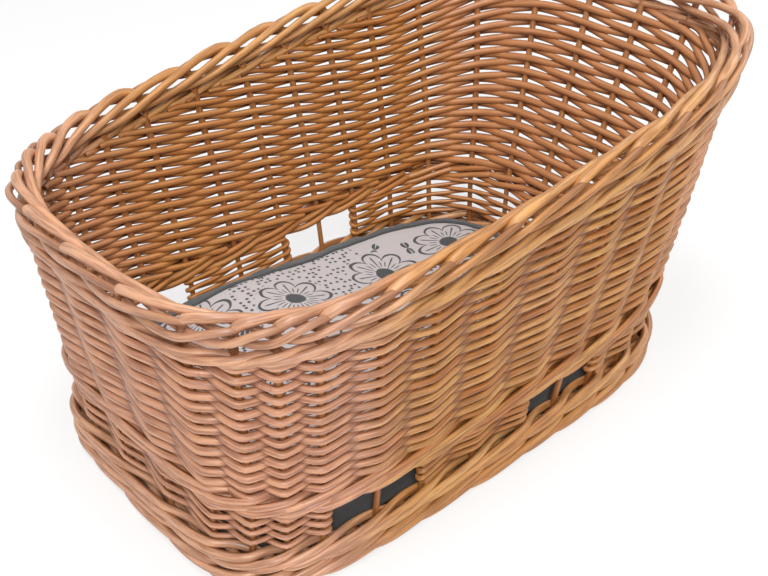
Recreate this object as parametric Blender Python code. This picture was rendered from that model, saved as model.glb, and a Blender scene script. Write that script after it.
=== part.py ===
"""Dog basket for a bicycle carrier, woven from willow rods, with a lift-out cushion.

Metres, +Z up. The origin is the middle of the underside. The low end is -X and the
raised end is +X. Left is -Y, as seen from behind the raised end.

Every wall follows one surface: at each turn angle round the basket it stands on a
rounded outline, leans out slowly up to the middle wale and faster above it.
"""

import math

import bmesh
import bpy
from mathutils import Vector

# Driving sizes of the wall, measured to the middle of its thickness
HALF_LENGTH = 0.225
HALF_WIDTH = 0.148
FRONT_HEIGHT = 0.232
REAR_HEIGHT = 0.287
MIDDLE_WALE_HEIGHT = 0.068
MIDDLE_WALE_RISE = 0.010
HALF_WALL = 0.0072
HALF_WAIST = 0.0026
SEAT_GAP = 0.0003

# How far the wall leans out, as metres out for each metre up
FRONT_LEAN_SHARE = 0.096
REAR_LEAN_SHARE = 0.386
SIDE_LEAN_SHARE = 0.135
FRONT_FOOT_LEAN_SHARE = 0.0
REAR_FOOT_LEAN_SHARE = 0.13
SIDE_FOOT_LEAN_SHARE = 0.14

# Exponents of the rounded outline, low down and at the rim, and of the two rises toward the ends
FOOT_SQUARENESS_SHARE = 5.0
RIM_SQUARENESS_SHARE = 3.5
RIM_RISE_POWER_SHARE = 1.7
MIDDLE_RISE_POWER_SHARE = 3.0

# Stakes and the window cells between them
STAKE_RADIUS = 0.0030
STAKE_FOOT_HEIGHT = 0.0015
STAKE_HEAD_GAP = 0.0008
BORE_OVERRUN = 0.02
MIDDLE_STAKE_PLACE = -0.025
MIDDLE_CELL_LENGTH = 0.052
WINDOW_CELL_LENGTH = 0.043
WINDOW_CELLS = 2
REAR_STAKES = 8
FRONT_STAKE_SHARES = (0.075, 0.150, 0.285, 0.447, 0.615, 0.766, 0.856, 0.925)
WINDOW_MARGIN = 0.0062

# How the weaving has drawn the stakes' upper ends sideways near one corner, in shares of a full turn
DRIFT_TURN_SHARE = 0.020
DRIFT_MIDDLE_SHARE = 0.125
DRIFT_SPREAD_SHARE = 0.125

# Wales and border
FOOT_WALE_HEIGHT = 0.037
FOOT_WALE_PROUD = 0.0125
FOOT_WALE_EDGE = 0.0045
MIDDLE_WALE_DEPTH = 0.0135
TOP_WALE_DEPTH = 0.0115
WALE_PROUD = 0.0098
WALE_EDGE = 0.0025
BORDER_RODS = 4
BORDER_ROD_RADIUS = 0.0046
BORDER_LAY_RADIUS = 0.0073
BORDER_TURNS = 8

# Base
BASE_THICKNESS = 0.011
BASE_STICK_RADIUS = 0.0032
BASE_STICKS = 7
BASE_STICK_INSET = 0.032

# Cushion
CUSHION_EDGE_HEIGHT = 0.031
CUSHION_CROWN = 0.011
CUSHION_SIDE_GAP = 0.0035
CUSHION_DRAW_IN = 0.003
CUSHION_TUCK = 0.006
COVER_THICKNESS = 0.0012
BINDING_RADIUS = 0.0027

# Fineness of the meshes
BORDER_STEPS = 64
CUSHION_STEPS = 40
CROWN_RINGS = 3
WALL_BANDS = 2
ROD_SIDES = 6
MEASURE_STEPS = 720
SECTION_SHARES = (0.25, 0.75)
WEAVE_SHARES = (0.0, 0.5)

# Colours as linear RGB
WILLOW_GOLD = (0.50, 0.27, 0.095)
WILLOW_PALE = (0.62, 0.36, 0.15)
WILLOW_DARK = (0.33, 0.145, 0.045)
FABRIC_PALE = (0.62, 0.58, 0.56)
FABRIC_DARK = (0.035, 0.038, 0.042)
FOAM_WHITE = (0.75, 0.73, 0.66)
WILLOW_ROUGHNESS = 0.45
CLOTH_ROUGHNESS = 0.9

FULL_TURN = 2.0 * math.pi


def clear_scene():
    """Remove whatever the file opened with."""
    for item in list(bpy.data.objects):
        bpy.data.objects.remove(item, do_unlink=True)


def make_material(name, colour, roughness):
    """A plain Principled material."""
    material = bpy.data.materials.new(name)
    material.use_nodes = True
    shader = material.node_tree.nodes["Principled BSDF"]
    shader.inputs["Base Color"].default_value = (*colour, 1.0)
    shader.inputs["Roughness"].default_value = roughness
    shader.inputs["Metallic"].default_value = 0.0
    return material


def blunt(angle, squareness):
    """Reach of a rounded outline of unit size, in the direction of a turn angle."""
    along = abs(math.cos(angle)) ** squareness
    across = abs(math.sin(angle)) ** squareness
    return (along + across) ** (-1.0 / squareness)


def lengthwise_share(angle):
    """Place along the basket: 0 at the low end, 1 at the raised end."""
    return (1.0 + math.cos(angle) * blunt(angle, RIM_SQUARENESS_SHARE)) / 2.0


def rim_height(angle):
    """Height of the border's centre line."""
    rise = max(lengthwise_share(angle), 0.0) ** RIM_RISE_POWER_SHARE
    return FRONT_HEIGHT + (REAR_HEIGHT - FRONT_HEIGHT) * rise


def middle_height(angle):
    """Height of the middle wale's lower edge, where the wall starts to lean out more."""
    from_middle = abs(2.0 * lengthwise_share(angle) - 1.0)
    return MIDDLE_WALE_HEIGHT + MIDDLE_WALE_RISE * from_middle ** MIDDLE_RISE_POWER_SHARE


def border_reach():
    """Radius of the whole border round its centre line."""
    return BORDER_LAY_RADIUS + BORDER_ROD_RADIUS


def top_wale_head(angle):
    """Height of the top wale's upper face."""
    return rim_height(angle) - border_reach() - SEAT_GAP


def side_weave_head(angle):
    """Height of the side weave's upper face."""
    return top_wale_head(angle) - TOP_WALE_DEPTH - SEAT_GAP


def outline_squareness(height):
    """Exponent of the rounded outline at a height; it softens up to the rim."""
    softening = min(height / FRONT_HEIGHT, 1.0)
    return FOOT_SQUARENESS_SHARE + (RIM_SQUARENESS_SHARE - FOOT_SQUARENESS_SHARE) * softening


def wall_point(angle, height, outward=0.0):
    """A point of the wall surface, moved outward in plan."""
    low = min(height, middle_height(angle))
    high = max(height - middle_height(angle), 0.0)
    to_rear = math.cos(angle) > 0.0
    foot_lean = REAR_FOOT_LEAN_SHARE if to_rear else FRONT_FOOT_LEAN_SHARE
    lean = REAR_LEAN_SHARE if to_rear else FRONT_LEAN_SHARE
    length = HALF_LENGTH + foot_lean * low + lean * high + outward
    width = HALF_WIDTH + SIDE_FOOT_LEAN_SHARE * low + SIDE_LEAN_SHARE * high + outward
    reach = blunt(angle, outline_squareness(height))
    return Vector((length * reach * math.cos(angle), width * reach * math.sin(angle), height))


def angles_at_shares(start, end, shares, height):
    """Turn angles at given shares of the outline's length between two angles."""
    turns = [start + (end - start) * step / MEASURE_STEPS for step in range(MEASURE_STEPS + 1)]
    points = [wall_point(turn, height) for turn in turns]
    run = [0.0]
    for before, after in zip(points, points[1:]):
        run.append(run[-1] + (after - before).length)
    angles = []
    place = 0
    for share in shares:
        goal = run[-1] * share
        while place < MEASURE_STEPS - 1 and run[place + 1] < goal:
            place += 1
        part = (goal - run[place]) / (run[place + 1] - run[place])
        angles.append(turns[place] + (turns[place + 1] - turns[place]) * part)
    return angles


def even_angles(start, end, count, height):
    """Turn angles that divide the outline between two angles into equal lengths."""
    return angles_at_shares(start, end, [step / count for step in range(count + 1)], height)


def ring_angles(count):
    """Turn angles evenly spaced along the whole outline at the middle wale."""
    return even_angles(0.0, FULL_TURN, count, MIDDLE_WALE_HEIGHT)[:-1]


def side_angle(place):
    """Turn angle of the right side's point at a lengthwise place on the middle wale."""
    low, high = 0.0, math.pi
    for _ in range(MEASURE_STEPS // 10):
        middle = (low + high) / 2.0
        if wall_point(middle, MIDDLE_WALE_HEIGHT).x > place:
            low = middle
        else:
            high = middle
    return (low + high) / 2.0


def window_places():
    """Lengthwise places of the two windows' stakes, each window from its front edge to its rear edge."""
    front_window_rear = MIDDLE_STAKE_PLACE - MIDDLE_CELL_LENGTH
    rear_window_front = MIDDLE_STAKE_PLACE + MIDDLE_CELL_LENGTH
    cells = [WINDOW_CELL_LENGTH * cell for cell in range(WINDOW_CELLS + 1)]
    front = [front_window_rear - cell for cell in reversed(cells)]
    rear = [rear_window_front + cell for cell in cells]
    return front, rear


def side_places():
    """Lengthwise places of one side's stakes, front to rear."""
    front, rear = window_places()
    return front + [MIDDLE_STAKE_PLACE] + rear + [rear[-1] + WINDOW_CELL_LENGTH]


def stake_angles():
    """Turn angles of all stakes, once round from the right side's rearmost side stake."""
    right = [side_angle(place) for place in reversed(side_places())]
    left = [FULL_TURN - angle for angle in reversed(right)]
    front = angles_at_shares(right[-1], left[0], FRONT_STAKE_SHARES, MIDDLE_WALE_HEIGHT)
    rear = even_angles(left[-1], right[0] + FULL_TURN, REAR_STAKES + 1, MIDDLE_WALE_HEIGHT)[1:-1]
    return right + front + left + rear


def wall_angles(angles, shares=SECTION_SHARES):
    """Turn angles of a wall's cross sections, two in each gap between neighbouring stakes."""
    following = angles[1:] + [angles[0] + FULL_TURN]
    return [now + (after - now) * share for now, after in zip(angles, following) for share in shares]


def weave_angles(angles):
    """Turn angle and half thickness of a weave's cross sections: full at a stake, narrow between two."""
    turns = wall_angles(angles, WEAVE_SHARES)
    return [(turn, HALF_WAIST if place % 2 else HALF_WALL) for place, turn in enumerate(turns)]


def finish(name, mesh_builder, material, smooth=False):
    """Turn a bmesh into a named object with outward faces."""
    bmesh.ops.remove_doubles(mesh_builder, verts=mesh_builder.verts, dist=SEAT_GAP / 30.0)
    bmesh.ops.recalc_face_normals(mesh_builder, faces=mesh_builder.faces)
    mesh = bpy.data.meshes.new(name)
    mesh_builder.to_mesh(mesh)
    mesh_builder.free()
    mesh.materials.append(material)
    if smooth:
        mesh.shade_smooth()
        mesh.set_sharp_from_angle(angle=math.radians(50.0))
    item = bpy.data.objects.new(name, mesh)
    bpy.context.scene.collection.objects.link(item)
    return item


def bridge(builder, before, after, flat_sided=False):
    """Join two closed loops of vertices, with triangles unless each side is flat."""
    count = len(before)
    for step in range(count):
        following = (step + 1) % count
        if flat_sided:
            builder.faces.new((before[step], before[following], after[following], after[step]))
        else:
            builder.faces.new((before[step], before[following], after[following]))
            builder.faces.new((before[step], after[following], after[step]))


def loft(name, sections, material, closed, smooth=False):
    """Sweep a run of cross sections into one closed body, as a ring or with flat ends."""
    builder = bmesh.new()
    loops = [[builder.verts.new(point) for point in section] for section in sections]
    for before, after in zip(loops, loops[1:]):
        bridge(builder, before, after)
    if closed:
        bridge(builder, loops[-1], loops[0])
    else:
        builder.faces.new(loops[0])
        builder.faces.new(list(reversed(loops[-1])))
    return finish(name, builder, material, smooth)


def rod_sections(points, radius, side):
    """Round sections square to a run of points that is open at both ends and bends within a plane."""
    sections = []
    for place, point in enumerate(points):
        before = points[max(place - 1, 0)]
        after = points[min(place + 1, len(points) - 1)]
        forward = (after - before).normalized()
        sections.append(round_section(point, side, side.cross(forward).normalized(), radius))
    return sections


def round_section(centre, side, upward, radius):
    """A regular polygon of points round a centre."""
    turns = [FULL_TURN * step / ROD_SIDES for step in range(ROD_SIDES)]
    return [centre + side * (radius * math.cos(turn)) + upward * (radius * math.sin(turn)) for turn in turns]


def fill_rod(builder, sections, flat_sided=False):
    """Add a closed rod to a builder from its sections."""
    loops = [[builder.verts.new(point) for point in section] for section in sections]
    for before, after in zip(loops, loops[1:]):
        bridge(builder, before, after, flat_sided)
    builder.faces.new(loops[0])
    builder.faces.new(list(reversed(loops[-1])))


def band_section(angle, corners):
    """A wall's cross section at a turn angle, from pairs of outward offset and height."""
    return [wall_point(angle, height, outward) for outward, height in corners]


def drifted_section(angle, corners):
    """A cross section that is drawn sideways with the stakes as it rises."""
    drift = stake_drift(angle)
    bend = middle_height(angle)
    head = top_wale_head(angle + drift) - STAKE_HEAD_GAP
    section = []
    for outward, height in corners:
        section.append(wall_point(angle + drift * (height - bend) / (head - bend), height, outward))
    return section


def band_corners(bottom, top, half, bands=1):
    """Cross section of a plain wall band, as pairs of outward offset and height."""
    heights = [bottom + (top - bottom) * step / bands for step in range(bands + 1)]
    outer = [(half, height) for height in heights]
    inner = [(-half, height) for height in reversed(heights)]
    return outer + inner


def wale_corners(bottom, top):
    """Cross section of a wale, fullest at half its height, as pairs of outward offset and height."""
    belly = (bottom + top) / 2.0
    edge = WALE_PROUD - WALE_EDGE
    outer = [(edge, bottom), (WALE_PROUD, belly), (edge, top)]
    return outer + [(-outward, height) for outward, height in reversed(outer)]


def stake_drift(angle):
    """Turn angle by which a stake's upper end has been drawn sideways."""
    away = math.remainder(angle - FULL_TURN * DRIFT_MIDDLE_SHARE, FULL_TURN)
    spread = FULL_TURN * DRIFT_SPREAD_SHARE
    return FULL_TURN * DRIFT_TURN_SHARE * math.exp(-((away / spread) ** 2))


def stake_points(angle):
    """Centre line of a stake, which bends where the wall starts to lean out."""
    drift = stake_drift(angle)
    bend = middle_height(angle)
    head = top_wale_head(angle + drift) - STAKE_HEAD_GAP
    points = [wall_point(angle, STAKE_FOOT_HEIGHT)]
    for step in range(WALL_BANDS + 1):
        share = step / WALL_BANDS
        points.append(wall_point(angle + drift * share, bend + (head - bend) * share))
    return points


def stake_side(angle):
    """Level direction along the wall at a stake."""
    step = FULL_TURN / MEASURE_STEPS
    run = wall_point(angle + step, 0.0) - wall_point(angle - step, 0.0)
    return run.normalized()


def drill_for_stakes(item, angles):
    """Cut a clear bore through an object for each stake."""
    builder = bmesh.new()
    for angle in angles:
        points = stake_points(angle)
        below = (points[0] - points[1]).normalized() * BORE_OVERRUN
        above = (points[-1] - points[-2]).normalized() * BORE_OVERRUN
        points = [points[0] + below] + points[1:-1] + [points[-1] + above]
        fill_rod(builder, rod_sections(points, STAKE_RADIUS + SEAT_GAP, stake_side(angle)), flat_sided=True)
    cut_away(item, builder, item.name + "_bores")


def cut_away(item, builder, name):
    """Subtract a built shape from an object with an exact Boolean."""
    bmesh.ops.recalc_face_normals(builder, faces=builder.faces)
    mesh = bpy.data.meshes.new(name)
    builder.to_mesh(mesh)
    builder.free()
    cutter = bpy.data.objects.new(name, mesh)
    bpy.context.scene.collection.objects.link(cutter)
    cutter.hide_render = True
    cutter.display_type = "WIRE"
    cut = item.modifiers.new("bores", "BOOLEAN")
    cut.operation = "DIFFERENCE"
    cut.solver = "EXACT"
    cut.object = cutter


def build_stakes(angles, material):
    """The upright rods that everything else is woven round."""
    for place, angle in enumerate(angles):
        sections = rod_sections(stake_points(angle), STAKE_RADIUS, stake_side(angle))
        loft("stake_{:02d}".format(place + 1), sections, material, closed=False, smooth=True)


def build_foot_wale(angles, material):
    """The thick band of rods round the base, flat below where it stands."""
    edge = FOOT_WALE_PROUD - FOOT_WALE_EDGE
    corners = [
        (edge, 0.0),
        (FOOT_WALE_PROUD, FOOT_WALE_EDGE),
        (FOOT_WALE_PROUD, FOOT_WALE_HEIGHT - FOOT_WALE_EDGE),
        (edge, FOOT_WALE_HEIGHT),
        (-HALF_WALL, FOOT_WALE_HEIGHT),
        (-HALF_WALL, 0.0),
    ]
    sections = [band_section(angle, corners) for angle in wall_angles(angles)]
    drill_for_stakes(loft("foot_wale", sections, material, closed=True), angles)


def build_middle_wale(angles, material):
    """The heavier rods that close the windows from above."""
    sections = []
    for angle in wall_angles(angles):
        bottom = middle_height(angle)
        sections.append(band_section(angle, wale_corners(bottom, bottom + MIDDLE_WALE_DEPTH)))
    drill_for_stakes(loft("middle_wale", sections, material, closed=True), angles)


def build_side_weave(angles, material):
    """The main woven wall, from the middle wale up to the sloping rim, which swells over each stake."""
    sections = []
    for angle, half in weave_angles(angles):
        bottom = middle_height(angle) + MIDDLE_WALE_DEPTH + SEAT_GAP
        corners = band_corners(bottom, side_weave_head(angle + stake_drift(angle)), half, WALL_BANDS)
        sections.append(drifted_section(angle, corners))
    drill_for_stakes(loft("side_weave", sections, material, closed=True), angles)


def build_top_wale(angles, material):
    """The pair of rods below the border."""
    sections = []
    for angle in wall_angles(angles):
        head = top_wale_head(angle)
        sections.append(band_section(angle, wale_corners(head - TOP_WALE_DEPTH, head)))
    drill_for_stakes(loft("top_wale", sections, material, closed=True), angles)


def panel_angles(angles, start, end):
    """Turn angle and half thickness of a lower panel's cross sections, from one edge to the other."""
    whole = weave_angles(angles)
    laps = [(turn + lap, half) for lap in (0.0, FULL_TURN) for turn, half in whole]
    spare = (end - start) / MEASURE_STEPS
    kept = [(turn, half) for turn, half in laps if start + spare < turn < end - spare]
    return [(start, HALF_WALL)] + kept + [(end, HALF_WALL)]


def build_lower_panels(angles, material):
    """The woven panels of the lower band, which leave two windows open on each long side."""
    front_window, rear_window = window_places()
    front = side_angle(front_window[0] + WINDOW_MARGIN)
    rear = side_angle(rear_window[-1] - WINDOW_MARGIN)
    middle = (side_angle(rear_window[0] + WINDOW_MARGIN), side_angle(front_window[-1] - WINDOW_MARGIN))
    spans = {
        "lower_weave_front": (front, FULL_TURN - front),
        "lower_weave_rear": (FULL_TURN - rear, FULL_TURN + rear),
        "lower_weave_right": middle,
        "lower_weave_left": (FULL_TURN - middle[1], FULL_TURN - middle[0]),
    }
    bottom = FOOT_WALE_HEIGHT + SEAT_GAP
    for name, (start, end) in spans.items():
        sections = []
        for angle, half in panel_angles(angles, start, end):
            corners = band_corners(bottom, middle_height(angle) - SEAT_GAP, half)
            sections.append(band_section(angle, corners))
        panel = loft(name, sections, material, closed=False)
        laps = [angle + lap for lap in (0.0, FULL_TURN) for angle in angles]
        drill_for_stakes(panel, [angle for angle in laps if start < angle < end])


def border_point(angle, turn):
    """A point on the border's lay circle, and the outward direction there."""
    step = FULL_TURN / MEASURE_STEPS
    centre = wall_point(angle, rim_height(angle))
    after = wall_point(angle + step, rim_height(angle + step))
    before = wall_point(angle - step, rim_height(angle - step))
    forward = (after - before).normalized()
    outward = forward.cross(Vector((0.0, 0.0, 1.0))).normalized()
    upward = outward.cross(forward).normalized()
    spoke = outward * math.cos(turn) + upward * math.sin(turn)
    return centre + spoke * BORDER_LAY_RADIUS, outward, upward


def build_border(material):
    """The rope-like border: rods laid round each other along the sloping rim."""
    angles = ring_angles(BORDER_STEPS)
    for rod in range(BORDER_RODS):
        sections = []
        for place, angle in enumerate(angles):
            turn = FULL_TURN * (BORDER_TURNS * place / BORDER_STEPS + rod / BORDER_RODS)
            centre, outward, upward = border_point(angle, turn)
            sections.append(round_section(centre, outward, upward, BORDER_ROD_RADIUS))
        loft("border_rod_{}".format(rod + 1), sections, material, closed=True, smooth=True)


def base_outline_gap():
    """How far the base lies inside the wall's middle surface."""
    return HALF_WALL + SEAT_GAP


def build_base(angles, weave_material, stick_material):
    """The woven floor and the sticks that run through it from end to end."""
    sections = []
    for height in (0.0, BASE_THICKNESS):
        sections.append([wall_point(angle, height, -base_outline_gap()) for angle in wall_angles(angles)])
    floor = loft("base_weave", sections, weave_material, closed=False)
    builder = bmesh.new()
    height = BASE_THICKNESS / 2.0
    outermost = HALF_WIDTH - base_outline_gap() - BASE_STICK_INSET
    for number in range(BASE_STICKS):
        across = outermost * (2.0 * number / (BASE_STICKS - 1) - 1.0)
        reach = base_stick_reach(across)
        ends = [Vector((-reach, across, height)), Vector((reach, across, height))]
        side = Vector((0.0, 1.0, 0.0))
        stick = rod_sections(ends, BASE_STICK_RADIUS, side)
        loft("base_stick_{}".format(number + 1), stick, stick_material, closed=False, smooth=True)
        overrun = Vector((BORE_OVERRUN, 0.0, 0.0))
        bore = [ends[0] - overrun, ends[1] + overrun]
        fill_rod(builder, rod_sections(bore, BASE_STICK_RADIUS + SEAT_GAP, side), flat_sided=True)
    cut_away(floor, builder, "base_weave_bores")


def base_stick_reach(across):
    """Half length of a base stick, which ends just short of the foot wale."""
    width = HALF_WIDTH - base_outline_gap()
    length = HALF_LENGTH - base_outline_gap()
    edge = (abs(across) + BASE_STICK_RADIUS) / width
    squareness = outline_squareness(BASE_THICKNESS)
    return length * (1.0 - edge ** squareness) ** (1.0 / squareness) - SEAT_GAP


def cushion_ring(height, inward):
    """A ring of points round the cushion's side, drawn in between the corners."""
    ring = []
    for angle in ring_angles(CUSHION_STEPS):
        drawn = CUSHION_DRAW_IN * math.cos(2.0 * angle) ** 2
        middle = cushion_seam_height() / 2.0
        point = wall_point(angle, middle, -(HALF_WALL + CUSHION_SIDE_GAP + drawn + inward))
        ring.append(Vector((point.x, point.y, height)))
    return ring


def cushion_side_rings(inward):
    """Rings of the cushion's belly from its tucked-in foot to its seam, moved inward from the cover."""
    foot = BASE_THICKNESS + SEAT_GAP
    seam = cushion_seam_height()
    shoulder = CUSHION_TUCK / 4.0 + inward
    return [
        cushion_ring(foot + inward, CUSHION_TUCK + inward),
        cushion_ring(foot + CUSHION_TUCK, shoulder),
        cushion_ring((foot + seam) / 2.0, inward),
        cushion_ring(seam - BINDING_RADIUS, shoulder),
    ]


def cushion_seam_height():
    """Height of the seam where the top panel meets the side."""
    return BASE_THICKNESS + SEAT_GAP + CUSHION_EDGE_HEIGHT


def crown_rings(lift):
    """Rings of the crowned top, from near the seam to near the middle."""
    inward = CUSHION_TUCK / 4.0 + 2.0 * COVER_THICKNESS + BINDING_RADIUS
    rings = []
    for ring in range(CROWN_RINGS + 1):
        share = 1.0 - ring / (CROWN_RINGS + 1.0)
        height = cushion_seam_height() + lift + CUSHION_CROWN * (1.0 - share ** 4)
        edge = cushion_ring(height, inward)
        rings.append([Vector((point.x * share, point.y * share, height)) for point in edge])
    return rings


def stacked_rings(name, rings, material):
    """A body from rings of points, each joined to the next, with a flat face over the first and last."""
    builder = bmesh.new()
    fill_rod(builder, rings)
    return finish(name, builder, material, smooth=True)


def build_cushion(pale, dark, foam):
    """The lift-out cushion: dark side and underside, foam, crowned top panel and edge binding."""
    outer = cushion_side_rings(0.0)
    inner = cushion_side_rings(COVER_THICKNESS)
    inner[-1] = [Vector((point.x, point.y, outer[-1][0].z)) for point in inner[-1]]
    stacked_rings("cushion_side_and_base", outer + list(reversed(inner)), dark)

    body = cushion_side_rings(COVER_THICKNESS + SEAT_GAP)
    stacked_rings("cushion_foam", body + crown_rings(0.0), foam)
    under = crown_rings(SEAT_GAP)
    over = crown_rings(SEAT_GAP + COVER_THICKNESS)
    stacked_rings("cushion_top_panel", list(reversed(under)) + over, pale)

    upward = Vector((0.0, 0.0, 1.0))
    centres = cushion_ring(cushion_seam_height() + SEAT_GAP, (CUSHION_TUCK / 2.0 + COVER_THICKNESS) / 2.0)
    sections = []
    for place, centre in enumerate(centres):
        along = (centres[(place + 1) % CUSHION_STEPS] - centres[place - 1]).normalized()
        sections.append(round_section(centre, along.cross(upward), upward, BINDING_RADIUS))
    loft("cushion_edge_binding", sections, dark, closed=True, smooth=True)


def build():
    """Model the whole basket."""
    clear_scene()
    gold = make_material("willow_gold", WILLOW_GOLD, WILLOW_ROUGHNESS)
    pale = make_material("willow_pale", WILLOW_PALE, WILLOW_ROUGHNESS)
    dark = make_material("willow_dark", WILLOW_DARK, WILLOW_ROUGHNESS)
    print_cloth = make_material("printed_cotton", FABRIC_PALE, CLOTH_ROUGHNESS)
    dark_cloth = make_material("dark_cotton", FABRIC_DARK, CLOTH_ROUGHNESS)
    foam = make_material("foam", FOAM_WHITE, CLOTH_ROUGHNESS)

    angles = stake_angles()
    build_base(angles, gold, dark)
    build_stakes(angles, dark)
    build_foot_wale(angles, pale)
    build_lower_panels(angles, gold)
    build_middle_wale(angles, pale)
    build_side_weave(angles, gold)
    build_top_wale(angles, pale)
    build_border(pale)
    build_cushion(print_cloth, dark_cloth, foam)


build()
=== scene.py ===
"""Looks of a willow dog basket for a bicycle carrier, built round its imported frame.

Metres, +Z up, in the frame's own axes: the low end is -X and the raised end is +X.
Every woven piece is a set of rods laid along guide lines on one wall surface. A place on that
wall is counted in stakes, once round from the right side's rearmost side stake.
"""

import logging
import math
from collections.abc import Callable
from dataclasses import dataclass
from enum import Enum

import bmesh
import bpy
import numpy as np
from mathutils import Matrix, Vector
from mathutils.bvhtree import BVHTree

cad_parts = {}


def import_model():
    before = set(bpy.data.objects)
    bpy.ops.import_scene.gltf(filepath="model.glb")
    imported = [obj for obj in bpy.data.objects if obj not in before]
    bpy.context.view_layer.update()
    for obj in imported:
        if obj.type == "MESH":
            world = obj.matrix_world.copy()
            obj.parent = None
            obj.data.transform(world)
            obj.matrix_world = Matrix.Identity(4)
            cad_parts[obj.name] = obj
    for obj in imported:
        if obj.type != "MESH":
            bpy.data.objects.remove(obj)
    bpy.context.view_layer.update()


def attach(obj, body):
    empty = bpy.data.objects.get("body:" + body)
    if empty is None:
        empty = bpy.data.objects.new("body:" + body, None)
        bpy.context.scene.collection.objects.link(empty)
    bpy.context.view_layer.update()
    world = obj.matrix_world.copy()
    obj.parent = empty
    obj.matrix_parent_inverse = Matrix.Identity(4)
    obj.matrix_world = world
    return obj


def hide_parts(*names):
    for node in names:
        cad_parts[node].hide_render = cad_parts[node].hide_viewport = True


LOG = logging.getLogger("basket")
FULL_TURN = 2.0 * math.pi

Array = np.ndarray
Triple = tuple[float, float, float]
Pair = tuple[float, float]
Piece = bpy.types.Object
Material = bpy.types.Material
Socket = bpy.types.NodeSocket
Sockets = bpy.types.bpy_prop_collection
Node = bpy.types.Node
Tree = bpy.types.NodeTree
Random = np.random.Generator


class Slot(Enum):
    """Material slot names."""

    GOLD = "willow_gold"
    PALE = "willow_pale"
    DARK = "willow_dark"
    PRINT = "printed_cotton"
    DARK_CLOTH = "dark_cotton"


class Body(Enum):
    """Bodies that a piece can ride on."""

    BASKET = "basket"
    CUSHION = "cushion"


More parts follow.
